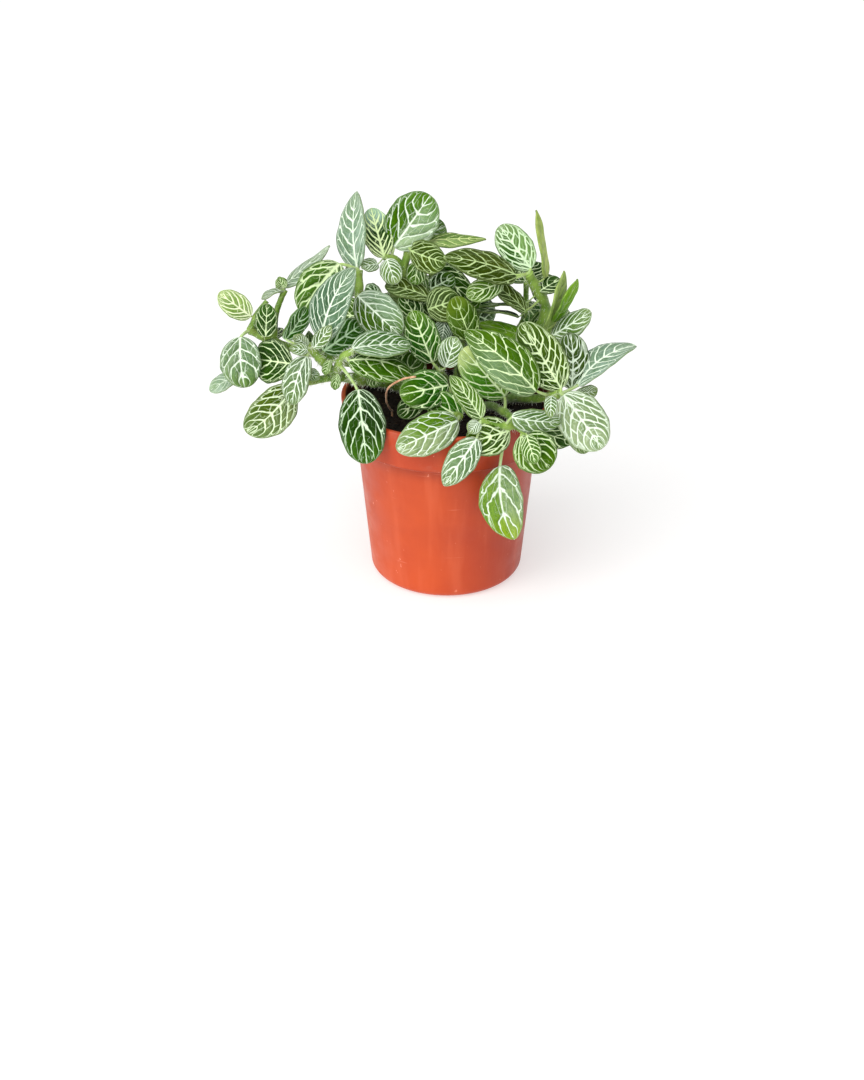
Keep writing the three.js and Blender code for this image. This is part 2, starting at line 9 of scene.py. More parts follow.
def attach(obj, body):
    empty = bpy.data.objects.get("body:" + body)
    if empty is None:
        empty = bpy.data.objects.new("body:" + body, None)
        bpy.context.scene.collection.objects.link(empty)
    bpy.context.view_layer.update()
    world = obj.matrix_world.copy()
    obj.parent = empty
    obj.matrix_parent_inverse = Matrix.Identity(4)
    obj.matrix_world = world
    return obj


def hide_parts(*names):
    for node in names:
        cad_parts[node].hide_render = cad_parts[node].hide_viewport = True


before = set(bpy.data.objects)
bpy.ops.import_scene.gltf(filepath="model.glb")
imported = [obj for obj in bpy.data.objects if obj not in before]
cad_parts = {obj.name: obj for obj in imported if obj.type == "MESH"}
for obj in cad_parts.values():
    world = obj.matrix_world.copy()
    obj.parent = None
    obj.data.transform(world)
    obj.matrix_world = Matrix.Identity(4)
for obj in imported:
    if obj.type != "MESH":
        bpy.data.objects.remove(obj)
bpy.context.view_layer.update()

MM = 0.001

# ---------------------------------------------------------------- sizes, in millimetres
POT_HEIGHT = 55
RIM_RADIUS = 30
RIM_ROUNDING = 0.5
COLLAR_HEIGHT = 11
COLLAR_LOW = POT_HEIGHT - COLLAR_HEIGHT
COLLAR_LOW_RADIUS = 29.3
BODY_TOP_RADIUS = 26
BODY_LOW_RADIUS = 22.2
BASE_ROUNDING = 2.5
WALL = 1.1
LIP = 0.5
DRAIN_RADIUS = 1.8
DRAIN_CIRCLE = 14
POT_FACETS = 144
SOIL_TOP = 49
SOIL_ROOM = 0.3
# a stem or root bends from this far over the soil, and a stem laps a little further down
ROOT_RISE = 2.4
ROOT_LAP = 0.6

BLADE_THICKNESS = 0.42
BLADE_WAVE = 0.3
# the flesh domes up between grooves that the side veins and the midrib lie in
DOME_HEIGHT = 0.32
SIDE_GROOVE = 0.55
RIB_GROOVE = 0.6
BROAD_LEAF = 9
SMALL_LEAF = 6
# a leaf shorter than each of these has one pair of side veins less
SHORT_LEAVES = (14, 8)
# an outline's bluntness at the base and the tip, and its width for its length
BASE_POWER = 0.48
SHARP_TIP_POWER = 0.76
ROUND_TIP_POWER = 0.5
SLIM_BREADTH = 0.45
ROUND_BREADTH = 0.65
# how far a side vein leans towards the tip, and how much more so near the margin
VEIN_SWEEP = 0.42
VEIN_CURL = 0.34
# a leaf this far behind the rim's centre that faces down by this much shows its back
BEHIND = 10
FACING_DOWN = -0.29

# ---------------------------------------------------------------- measuring the plant
# Points are sighted past a card square to the line of sight: (across, up, back) from the rim's centre.
SIGHT_DISTANCE = 500
SIGHT_TILT = math.radians(29.4)
CARD_ACROSS, CARD_UP = 4.25, 41.9
AHEAD = Vector((0, math.cos(SIGHT_TILT), -math.sin(SIGHT_TILT)))
UPWARD = Vector((0, math.sin(SIGHT_TILT), math.cos(SIGHT_TILT)))
EYE = Vector((-CARD_ACROSS, 0, POT_HEIGHT)) - AHEAD * SIGHT_DISTANCE - UPWARD * CARD_UP


def sight(point):
    across, up, back = point
    ray = AHEAD * SIGHT_DISTANCE + UPWARD * (CARD_UP + up)
    ray.x += CARD_ACROSS + across
    return EYE + ray * ((back - EYE.y) / ray.y)


# ---------------------------------------------------------------- the leafy stems
# root: where it leaves the soil. shoots: radius and points; the first starts at the root.
# leaves: base, tip, width and look, then roll, fold, arch and bow as far as they differ from Blade's own.
STEMS = {
    "stem_left": dict(root=(-4, 5), shoots=[
        (1.8, (-9, 0.8, 3), (-19, 2.8, -5), (-31, 4.5, -12)),
        (1.3, (-31, 4.5, -12), (-36, 9.5, -13), (-39.5, 13.3, -13)),
        (1.1, (-31.5, 5.5, -12.5), (-29.5, 10, -14.5), (-26.5, 11.6, -15)),
        (1.2, (-31, 4.5, -12), (-37, 3.4, -12), (-45.5, 2.2, -12)),
    ], leaves=[
        ((-25.2, 0.6, -21), (-22.7, -20.1, -27.5), 12.7, "deep", 0, 0.1, 0.06),
        ((-35.4, 14.7, -13), (-26.1, 35.1, -7), 11, "silver", -22, 0.2, 0.05, -0.07),
        ((-35, 11.6, -10), (-24.1, 19.3, -1), 9, "shaded"),
        ((-43.8, 8, -8), (-54.3, 9.4, 0), 12.4, "forest"),
        ((-39.8, 10, -15), (-43.8, -3.4, -21), 8.8, "misty", 35, 0.2, 0.08),
        ((-45.9, 15, -8), (-40.2, 24.1, -5), 8, "shaded", 50, 0.2),
        ((-43.8, 1.3, -12), (-56.6, -11.5, -18), 11.6, "olive", 0, 0.2, 0.06, -0.06),
        ((-26.6, 12.2, -17.5), (-10.4, 13.2, -13), 11, "sage", -50, 0.2, 0.04),
        ((-27.8, 8.8, -16), (-9.6, 4.4, -15), 10.5, "mid", -38, -0.35, 0.12, -0.04),
        ((-21.8, 5.5, -13), (-19.5, 1.7, -14), 4.5, "mid", 0, 0.2),
        ((-39.4, 5.7, -14), (-36.2, 3.7, -17), 3.5, "milky", 0, 0.3),
        ((-31.2, 5, -15), (-31.8, 0.7, -17), 2.8, "creamy", 0, 0.4),
        ((-33, 9, -14), (-34.5, 4.8, -17), 2.8, "creamy", 30, 0.4),
        ((-39.5, 13.3, -13.5), (-43.4, 16, -15), 3.4, "milky", 0, 0.4),
        ((-14, 2, 0), (-8, 10, 8), 10, "mid", 0, 0.15, 0.08),
        ((-37.6, 12.6, -16), (-32.8, 18.8, -15), 4.2, "milky", 0, 0.3),
        ((-39.6, 12, -15), (-44.6, 12.4, -17), 3.4, "milky", 0, 0.4),
    ]),
    "stem_far_left": dict(root=(-14, 12), shoots=[
        (1.4, (-20, 6, 10), (-34, 10, 5), (-47, 13.5, 2), (-55.8, 17.6, 1)),
        (1, (-49, 14.2, 2), (-48.5, 22, 3), (-46, 29, 5)),
        (0.9, (-55.8, 17.6, 1), (-53.5, 22.5, 1), (-51, 25.8, 2)),
    ], leaves=[
        ((-58.6, 15.5, -2), (-57.3, 1.4, -7), 11.4, "puckered", 0, 0.15, 0.05, 0.04),
        ((-58.6, 4.8, 1), (-67.1, 0.3, 0), 6, "ashen", 40, 0.2),
        ((-55.6, 21.5, 0), (-64.6, 28, 0), 7, "buttery", 0, 0.2),
        ((-51.4, 15.8, -2.4), (-51, 25, -1.6), 6.4, "forest"),
        ((-45.9, 28.9, 5), (-52.4, 26.3, 5), 5, "ashen", 70, 0.3),
        ((-46.4, 29.8, 5), (-33.2, 41.4, 9), 7.6, "ashen", -62, -0.15, 0),
        ((-46.4, 29.4, 3.5), (-47.6, 32.6, 3), 3.4, "creamy", 0, 0.4),
        ((-30, 9, 7), (-29, 14, 20), 10, "mid", 0, 0.15, 0.1),
        ((-40, 12, 4), (-37, 14, 17), 8, "mid", 0, 0.15, 0.1),
        ((-50, 14.5, 3), (-49.5, 18, 14), 7, "forest", 0, 0.15, 0.1),
    ]),
    "stem_upper_left": dict(root=(-9, 8), shoots=[
        (1.4, (-12.5, 7, 7.5), (-21.5, 17, 2), (-24.6, 26, 1), (-25.2, 34.5, 3)),
    ], leaves=[
        ((-25.2, 35.1, 5), (-25.5, 56.7, 17), 11.5, "pewter", -48, 0.25, 0.04, -0.03),
        ((-25.2, 27.2, -2), (-13.3, 16.1, -8), 11.5, "turned", 0, 0.15, 0.08),
        ((-30.6, 36.4, 2), (-41, 22.4, -3), 11.5, "ribbed", 0, 0.15, 0.1, 0.04),
        ((-21, 18, 3), (-20, 21, 17), 10.5, "mid", 0, 0.15, 0.1),
        ((-24.5, 30, 3), (-29, 31, 16), 9.5, "forest", 0, 0.15, 0.1),
    ]),
    "stem_top": dict(root=(-1, 12), shoots=[
        (1.4, (-4, 12, 10), (-9.5, 26, 10), (-12, 35, 10), (-10.5, 41, 11)),
        (1.1, (-12, 35, 10), (-14.5, 37.5, 9.5), (-17.8, 38.4, 9)),
    ], leaves=[
        ((-17.8, 38.3, 9), (-21.5, 52, 14), 8.5, "tipped"),
        ((-17, 37.6, 7), (-14.6, 30.6, 4), 6.2, "milky"),
        ((-19.6, 36.2, 7), (-24.2, 35.2, 4), 4.4, "milky", 30, 0.3),
        ((-15, 41.1, 10), (-4.8, 55.7, 16), 14.2, "split", 0, 0.12, 0.06),
        ((-12, 41.6, 13), (-0.6, 47, 19), 10, "sage"),
        ((-6.2, 42.6, 13), (11, 43.2, 12), 8, "striped", -64, 0, 0.02),
        ((-10.2, 40.2, 6), (-0.3, 36.8, 0), 9.5, "bronze", 25),
        ((-11, 40, 13), (-7, 42, 27), 11, "mid", 0, 0.15, 0.1),
        ((-12, 34, 11.5), (-17.5, 32.5, 25), 8, "forest", 0, 0.15, 0.1),
        ((-10, 28, 11), (-13.5, 24, 21), 9, "mid", 0, 0.15, 0.1),
    ]),
    "stem_middle": dict(root=(5, 10), shoots=[
        (1.2, (3, 10, 9), (-2, 20, 8), (-3, 28, 8), (-4.5, 35, 8)),
    ], leaves=[
        ((-7.8, 36.8, 8.5), (-9, 30.5, 6), 6.5, "mid", 25, 0.2),
        ((-4, 36.5, 9.5), (7, 26.5, 4), 9, "forest", 20, 0.15, 0.1),
        ((-5, 26.5, 5), (-17.5, 30, 6), 8, "bronze", 45, 0.2, 0.08),
        ((-5.4, 23.5, 2), (3.6, 26.5, 0), 10, "bronze"),
        ((-4.5, 29.5, 6), (2, 33, 5), 7, "deep", 20),
        ((-8, 20, 1), (-13, 27.5, 3), 7, "forest", 20, 0.2),
        ((-0.5, 20.5, 1), (-1.5, 14.5, -2), 5.5, "silver", 0, 0.2),
        ((3, 18.5, 6), (8, 27.5, 7), 8, "mid", 0, 0.2),
        ((-3, 22, 9), (2, 17, 18), 9, "mid", 0, 0.15, 0.1),
    ]),
    "stem_centre": dict(root=(4, 2), shoots=[
        (1.2, (1, 2, -3), (-2, 6, -8)),
        (1, (4.5, 3, 0), (6.5, 10, -3), (6.8, 13.5, -5)),
    ], leaves=[
        ((-4.2, 8.5, -8), (-9.9, 22.9, -4), 9.4, "bright", 0, 0.12),
        ((-0.3, 7.1, -11), (2.3, 15.6, -9), 7, "milky", 0, 0.2),
        ((6.8, 14.7, -6), (2.2, 26.9, -2), 8.6, "dusky", 0, 0.15, 0.06),
        ((5, 6, -1), (12, 8, 9), 10, "mid", 0, 0.15, 0.08),
    ]),
    "stem_front": dict(root=(-3, -3), shoots=[
        (1.3, (-2, -4.4, -9), (0.5, -4.6, -16), (3.4, -7, -24)),
    ], leaves=[
        ((0.3, 2, -17), (-13.2, -0.8, -21), 10.8, "bright", 0, 0.1, 0.08),
        ((3, -8, -26), (-14.2, -16.2, -32), 10.8, "fresh", 0, 0.12, 0.1),
        ((4.2, -7.4, -23), (-5, -2, -19), 9, "bright"),
        ((-7, -1.4, -13), (-13.6, -6.8, -17), 6.4, "forest"),
    ]),
    "stem_front_right": dict(root=(11, 0), shoots=[
        (1.3, (14, -4.4, -12), (18.3, -7.4, -23), (19.3, -9.6, -27)),
        (1, (19.3, -9.6, -27), (14, -9.4, -29), (9.6, -8, -29.5)),
        (0.9, (19.3, -9.6, -27), (22.5, -11.6, -28.5)),
    ], leaves=[
        ((17.6, -11, -28), (5.6, -14.4, -31.5), 10.6, "lattice", 0, 0.12, 0.14),
        ((8.4, -13.2, -32.5), (-0.8, -26.4, -35), 8.2, "misty", 0, 0.15, 0.06),
        ((9.6, -7.6, -28.5), (0.85, 4.5, -22), 7, "creamy", 30, 0.2),
        ((8.8, -8.5, -30), (6.2, -11.6, -33), 4, "milky", 0, 0.4),
        ((18.4, -7, -29.5), (32.2, -8.4, -26), 7.6, "sage", 30, 0.2),
        ((21, -12.4, -28.5), (29, -21.5, -33), 12, "bold", 0, 0.12, 0.08),
        ((22.6, -12.4, -31), (25, -20.2, -36), 5.4, "creamy", 0, 0.2),
        ((23.5, -10.2, -24), (36, -13.9, -17), 8, "forest", 20),
        ((15, -21, -29.5), (19, -41.6, -30.5), 12, "lime", 0, 0.12, 0.04, 0.07),
        ((16.4, -1.1, -17), (4.5, 12.2, -12), 11.5, "spring", 0, 0.12, 0.06),
    ]),
    "stem_right_front": dict(root=(17, 4), shoots=[
        (1.5, (19, -1.6, -4), (25.5, -1.8, -15), (32, -0.6, -20)),
    ], leaves=[
        ((25.2, 0.3, -21), (5.1, 17.3, -15), 12.2, "sheen_patch", 0, 0.1, 0.06, 0.04),
        ((32.3, 1.1, -19), (21.2, 19.5, -12), 12, "lattice", 0, 0.12, 0.06),
        ((35.1, 1.1, -17), (34.8, 16.7, -10), 10.5, "netted", 30, 0.12, 0.08),
        ((37.2, 1.9, -17), (53.5, 13, -13), 10, "pewter", -48, 0.2, 0.08, -0.09),
        ((33.1, -0.85, -21), (43.9, -15.9, -28), 13, "frost", 0, 0.1, 0.06),
        ((35.4, -2.3, -18), (39.1, -17.3, -24), 9, "olive", 0, 0.12, 0.06),
        ((36.5, -0.3, -17), (42.5, 0.6, -15), 4.5, "milky", 30, 0.3),
        ((29.5, -1.2, -26), (29.3, -7.4, -31.2), 3.6, "milky", 0, 0.3),
    ]),
    "stem_right": dict(root=(20, 9), shoots=[
        (1.3, (23, 6, 6), (27, 14, 2), (28.8, 18.5, 1)),
    ], leaves=[
        ((27.8, 17.4, -0.5), (33.1, 34.3, 4), 8, "smooth", 68, 0.2, 0.04),
        ((30, 20, 1), (36.9, 32, 3), 7, "slick", 68, 0.1, 0.04),
        ((29.8, 15.8, -1), (40.8, 22.6, -2), 8.2, "milky", -38, -0.1, 0),
        ((27, 12, 3), (33, 12, 13), 9.5, "mid", 0, 0.15, 0.08),
        ((25.5, 8, 4), (33.5, 7, 11), 9, "mid", 0, 0.15, 0.08),
    ]),
    "stem_upper_right": dict(root=(13, 12), shoots=[
        (1.6, (17, 8, 10), (24, 16, 8), (28, 23, 7), (25, 30, 6), (23, 33.5, 5)),
    ], leaves=[
        ((19.5, 33.1, 3), (-0.85, 38.2, -4), 11, "bronze", 42, -0.1, 0.06),
        ((23.8, 35.1, 6), (15, 47, 11), 9.5, "trellis"),
        ((27.9, 32.4, 6), (25.2, 51.5, 12), 6.2, "smooth", 71, 0.1, 0.02),
        ((26.2, 28.5, 5), (32, 31.8, 8), 5.6, "forest", -25, 0.2),
        ((15.6, 30.9, 0), (5.7, 26.9, -4), 7, "creamy", 20),
        ((22.1, 22.9, 2), (13.3, 30.3, 3), 7, "bronze", 50),
        ((21, 24.2, 4), (9.3, 24.1, 3), 4.4, "forest", 80, 0.2),
        ((20.4, 21.3, 2), (7, 22.9, 0), 4.6, "forest", 78),
        ((21.5, 15.6, 4), (8.5, 19, 3), 6.4, "slick", 50, 0.1),
        ((24, 31, 8), (28.5, 29, 18), 8.5, "mid", 0, 0.15, 0.1),
        ((26.5, 23, 9), (27.5, 15, 19), 9, "mid", 0, 0.15, 0.1),
        ((19, 13, 10), (14, 12, 22), 10, "forest", 0, 0.15, 0.1),
    ]),
    "stem_back_left": dict(root=(-8, 16), shoots=[
        (1.3, (-12, 11.9, 22), (-17, 18, 30), (-21.5, 21.4, 36)),
        (1, (-12.5, 12.5, 22.5), (-15.5, 19, 22), (-18, 25, 23)),
    ], leaves=[
        ((-21.5, 21.4, 36), (-33, 22, 44), 11, "mid", 0, 0.15, 0.08),
        ((-20, 21.4, 37), (-16.5, 26.3, 52), 11.5, "forest", 0, 0.15, 0.1),
        ((-14, 14.5, 25), (-28, 19.9, 28), 11, "fresh", -30, 0.15, 0.08),
        ((-13, 15, 26), (-3.8, 24.1, 37), 10.5, "deep", 0, 0.15, 0.08),
        ((-19, 18, 33), (-22, 11, 44), 10.5, "mid", 0, 0.15, 0.1),
        ((-16.5, 18.5, 29), (-17, 28, 33), 8.5, "forest", 0, 0.2),
        ((-12.5, 15, 24), (-6, 18, 34), 10, "olive", 0, 0.15, 0.1),
        ((-18, 25.5, 23.5), (-23.5, 27, 34), 9, "deep", 0, 0.15, 0.1),
        ((-17.5, 25, 23.5), (-14, 25.5, 34), 9, "fresh", 0, 0.15, 0.1),
        ((-16, 20, 22.5), (-21, 17, 32), 9, "sage", 0, 0.15, 0.1),
    ]),
    "stem_back": dict(root=(3, 18), shoots=[
        (1.3, (4, 12.7, 25), (4, 20.1, 33), (3, 24.4, 41)),
        (1, (4, 13.5, 26), (1, 21, 23), (-2.5, 28, 23)),
    ], leaves=[
        ((2.5, 24.4, 41), (-8, 26.2, 54), 11, "mid", 0, 0.15, 0.08),
        ((3.5, 24, 41), (12.7, 19.9, 52), 11.5, "deep", 0, 0.15, 0.1),
        ((4, 17.8, 30), (13, 15, 29), 9.6, "fresh", 20, 0.15, 0.08),
        ((3.5, 15.5, 28), (-8.5, 25.3, 31), 10, "forest", -20, 0.15, 0.08),
        ((3, 24.5, 41), (0, 31.5, 46), 7, "creamy", 0, 0.2),
        ((4, 19, 32), (9, 8, 40), 10.5, "forest", 0, 0.15, 0.1),
        ((-2.5, 28, 23.5), (-7, 29, 35), 9, "mid", 0, 0.15, 0.1),
        ((-2, 28, 23.5), (3, 28, 34), 9, "deep", 0, 0.15, 0.1),
        ((0, 22.5, 23), (7, 19, 31), 8.5, "split", 0, 0.15, 0.1),
    ]),
    "stem_back_right": dict(root=(12, 19), shoots=[
        (1.3, (17.5, 15, 26), (23.5, 18.4, 32), (28.5, 19.6, 36)),
        (1, (18.5, 15.5, 27), (21.8, 21, 22), (22.5, 31, 20)),
    ], leaves=[
        ((28.5, 19.6, 36), (34.8, 19.6, 47), 10, "mid", 0, 0.15, 0.08),
        ((27.5, 19.6, 37), (22, 20, 50), 11, "forest", 0, 0.15, 0.1),
        ((17.5, 14, 28), (12, 15.5, 43), 7.5, "fresh", 0, 0.15, 0.08),
        ((21, 16.5, 29), (32, 17.8, 24), 9.5, "sage"),
        ((25.5, 18.6, 34), (33.5, 9.4, 41), 10.5, "olive", 0, 0.15, 0.1),
        ((24, 18, 32.5), (17.5, 8, 41), 10, "deep", 0, 0.15, 0.1),
        ((22.5, 31.5, 20), (17.5, 38, 30), 9, "mid", 0, 0.15, 0.1),
        ((22.5, 31, 20), (24, 37, 31), 8.5, "forest", 0, 0.15, 0.1),
        ((22, 25, 21.5), (28, 18, 29), 8.5, "bright", 0, 0.15, 0.1),
    ]),
}

AERIAL_ROOT = {
    "radius": 0.4,
    "foot": (-15.5, -4.5),
    "points": [(-16, -5, -8), (-17.2, -2, -15), (-16.4, 1.4, -19.5), (-12.5, 3.7, -21.5), (-8.8, 4.4, -22.5)],
}

# ---------------------------------------------------------------- colours
MINT = (216, 240, 204)
WHITE = (234, 250, 228)
CREAM = (224, 246, 192)
LIME_CREAM = (228, 244, 168)
PALE_LIME = (202, 228, 160)
# look: flesh left of the midrib, right of it and at the tip (seen tip up), veins, side veins a side, and
# the half-widths in millimetres of midrib, side veins and net
# In some looks the pale grey-green is painted sheen: the pale left half of fresh, turned, lime and of the right
# front stem's first leaf, the pale right half of split, the pale tip of spring and the whole of silver.
LOOKS = {
    "deep": ((26, 54, 8), (34, 70, 6), (60, 102, 20), MINT, 5, 0.4, 0.24, 0.07),
    "forest": ((34, 68, 4), (26, 58, 4), (44, 82, 8), CREAM, 5, 0.34, 0.22, 0.05),
    "bronze": ((50, 70, 8), (60, 78, 14), (52, 76, 8), PALE_LIME, 6, 0.32, 0.18, 0.07),
    "dusky": ((60, 94, 10), (50, 84, 6), (86, 116, 24), PALE_LIME, 4, 0.24, 0.13, 0.03),
    "mid": ((42, 80, 2), (56, 96, 4), (62, 102, 8), CREAM, 5, 0.34, 0.2, 0.06),
    "bright": ((27, 79, 0), (39, 93, 0), (72, 112, 8), CREAM, 5, 0.36, 0.2, 0.05),
    "fresh": ((122, 146, 110), (82, 124, 26), (130, 154, 114), WHITE, 5, 0.38, 0.22, 0.08),
    "sheen_patch": ((98, 128, 92), (56, 93, 2), (60, 94, 8), CREAM, 6, 0.34, 0.2, 0.06),
    "split": ((60, 99, 0), (140, 161, 130), (74, 114, 12), WHITE, 4, 0.42, 0.25, 0.07),
    "turned": ((126, 152, 124), (64, 98, 16), (92, 124, 56), WHITE, 6, 0.34, 0.2, 0.08),
    "silver": ((67, 96, 75), (84, 112, 92), (94, 120, 98), WHITE, 8, 0.42, 0.17, 0.07),
    "misty": ((84, 112, 80), (98, 126, 92), (100, 128, 82), WHITE, 6, 0.36, 0.22, 0.09),
    "pewter": ((116, 142, 124), (126, 152, 136), (128, 150, 132), WHITE, 6, 0.5, 0.22, 0.06),
    "puckered": ((102, 126, 92), (114, 136, 104), (100, 128, 68), WHITE, 4, 0.42, 0.26, 0.09),
    "frost": ((108, 132, 98), (128, 150, 120), (134, 156, 126), WHITE, 6, 0.4, 0.28, 0.14),
    "trellis": ((48, 92, 18), (104, 142, 80), (110, 140, 92), (222, 248, 206), 6, 0.44, 0.3, 0.15),
    "netted": ((62, 86, 46), (46, 72, 22), (70, 98, 46), WHITE, 5, 0.36, 0.26, 0.12),
    "sage": ((74, 108, 58), (96, 126, 84), (72, 108, 40), WHITE, 6, 0.34, 0.22, 0.08),
    "olive": ((98, 120, 76), (72, 98, 22), (96, 124, 74), (230, 248, 208), 5, 0.38, 0.26, 0.1),
    "ribbed": ((50, 88, 16), (62, 98, 28), (74, 108, 42), CREAM, 5, 0.6, 0.34, 0.11),
    "lattice": ((44, 74, 6), (56, 84, 14), (58, 88, 10), CREAM, 6, 0.36, 0.25, 0.13),
    "tipped": ((16, 54, 0), (22, 60, 2), (150, 188, 184), (234, 255, 192), 8, 0.5, 0.28, 0.1),
    "bold": ((42, 80, 2), (66, 104, 6), (62, 98, 8), CREAM, 5, 0.38, 0.29, 0.06),
    "spring": ((54, 110, 2), (100, 142, 42), (160, 180, 128), CREAM, 5, 0.38, 0.24, 0.05),
    "striped": ((100, 138, 72), (134, 166, 108), (118, 152, 84), LIME_CREAM, 5, 0.42, 0.18, 0.04),
    "creamy": ((58, 98, 12), (72, 112, 22), (84, 122, 36), CREAM, 7, 0.36, 0.23, 0.08),
    "buttery": ((110, 144, 66), (126, 158, 84), (156, 182, 118), (238, 250, 206), 7, 0.42, 0.3, 0.1),
    "milky": ((78, 110, 50), (96, 126, 66), (112, 138, 84), WHITE, 7, 0.38, 0.25, 0.08),
    "shaded": ((38, 92, 12), (46, 100, 20), (56, 108, 28), (222, 255, 212), 5, 0.42, 0.26, 0.07),
    "lime": ((122, 150, 112), (108, 146, 62), (126, 160, 30), WHITE, 4, 0.5, 0.3, 0.06),
    "ashen": ((140, 162, 148), (124, 148, 130), (150, 172, 156), WHITE, 6, 0.26, 0.14, 0.06),
    "smooth": ((142, 170, 92), (160, 184, 114), (152, 176, 102), (186, 200, 146), 5, 0.26, 0.12, 0.03),
    "slick": ((108, 152, 20), (96, 142, 14), (120, 160, 44), PALE_LIME, 4, 0.24, 0.08, 0.03),
}
# places in a look's row
VEIN_TONE, VEIN_PAIRS = 3, 4


def srgb(red, green, blue):
    """A colour read from 0 to 255, as the linear colour that shaders use."""
    def channel(value):
        value /= 255
        return value / 12.92 if value <= 0.04045 else ((value + 0.055) / 1.055) ** 2.4
    return (channel(red), channel(green), channel(blue), 1.0)


def shade(colour, factor):
    return (colour[0] * factor, colour[1] * factor, colour[2] * factor, 1.0)


def mixed(a, b, amount):
    return tuple(x + (y - x) * amount for x, y in zip(a, b))


UNDERSIDE = srgb(126, 148, 88)
UNDERSIDE_VEIN = srgb(170, 188, 128)
UNDERSIDE_SHARE = (0.5, 0.8)
# a pale grey-green reflection that leaf flesh is mixed towards as painted sheen
PAINTED_SHEEN = srgb(156, 180, 158)
STEM_TONE = srgb(88, 130, 20)
NODE_TONE = srgb(134, 168, 68)
STALK_TONE = srgb(162, 192, 98)
# how much one leaf's flesh differs from the next one's
BRIGHTNESS = (0.88, 1.12)
WARMTH = (-0.06, 0.06)
# what the leaf's flesh is multiplied by: in its hollows as painted shade, in a darker gap between veins, and
# where light lies
HOLLOW_SHADE_TINT = (0.62, 0.72, 0.5, 1.0)
DARK_GAP_TINT = (0.6, 0.72, 0.52, 1.0)
LIT_TINT = (1.9, 1.65, 1.3, 1.0)


# ---------------------------------------------------------------- materials
class Recipe:
    """One material, built node by node around its Principled shader."""

    def __init__(self, name, roughness, **settings):
        self.material = bpy.data.materials.new(name)
        self.material.use_nodes = True
        self.tree = self.material.node_tree
        self.shader = self.tree.nodes["Principled BSDF"]
        self.set(Roughness=roughness, **settings)

    def feed(self, socket, value):
        if isinstance(value, bpy.types.NodeSocket):
            self.tree.links.new(value, socket)
        elif value is not None:
            socket.default_value = value

    def set(self, **sockets):
        for name, value in sockets.items():
            self.feed(self.shader.inputs[name.replace("_", " ")], value)

    def node(self, kind, inputs, **options):
        made = self.tree.nodes.new("ShaderNode" + kind)
        for option, value in options.items():
            setattr(made, option, value)
        for key, value in inputs.items():
            self.feed(made.inputs[key], value)
        return made

    def math(self, operation, a, b=None, c=None):
        return self.node("Math", {0: a, 1: b, 2: c}, operation=operation).outputs[0]

    def times(self, first, *others):
        return self.math("MULTIPLY", first, self.times(*others)) if others else first

    def times_plus(self, a, factor, b):
        """a times factor, plus b."""
        return self.math("MULTIPLY_ADD", a, factor, b)

    def attribute(self, name, output="Vector"):
        return self.node("Attribute", {}, attribute_name=name).outputs[output]

    def parts(self, vector):
        return self.node("SeparateXYZ", {0: vector}).outputs

    def place(self, scale=(1, 1, 1)):
        coordinates = self.node("TexCoord", {}).outputs["Object"]
        return self.node("Mapping", {"Vector": coordinates, "Scale": scale}).outputs[0]

    def noise(self, where, scale, detail=3, roughness=0.55):
        inputs = {"Vector": where, "Scale": scale, "Detail": detail, "Roughness": roughness}
        return self.node("TexNoise", inputs).outputs["Fac"]

    def fade(self, value, start, end, low=0.0, high=1.0):
        """low at start, high at end, with a soft step between."""
        inputs = {"Value": value, "From Min": start, "From Max": end, "To Min": low, "To Max": high}
        return self.node("MapRange", inputs, interpolation_type="SMOOTHSTEP").outputs[0]

    def blend(self, amount, a, b, mode="MIX"):
        return self.node("Mix", {0: amount, 6: a, 7: b}, data_type="RGBA", blend_type=mode).outputs[2]

    def bump(self, height, distance, strength):
        """Relief of the surface: height from 0 to 1, distance in millimetres."""
        made = self.node("Bump", {"Height": height, "Distance": distance * MM, "Strength": strength})
        self.set(Normal=made.outputs[0])


# one cell of the net in millimetres, the share of the half-width at which side veins bend over, the sharp
# core and the soft edge of a line as shares of its half-width, and the thinnest lines in millimetres
CELL = 2.0
LOOP_REACH = 0.74
LINE_CORE, LINE_EDGE = 0.5, 1.4
THINNEST_NET = 0.075
CRACK = 0.09


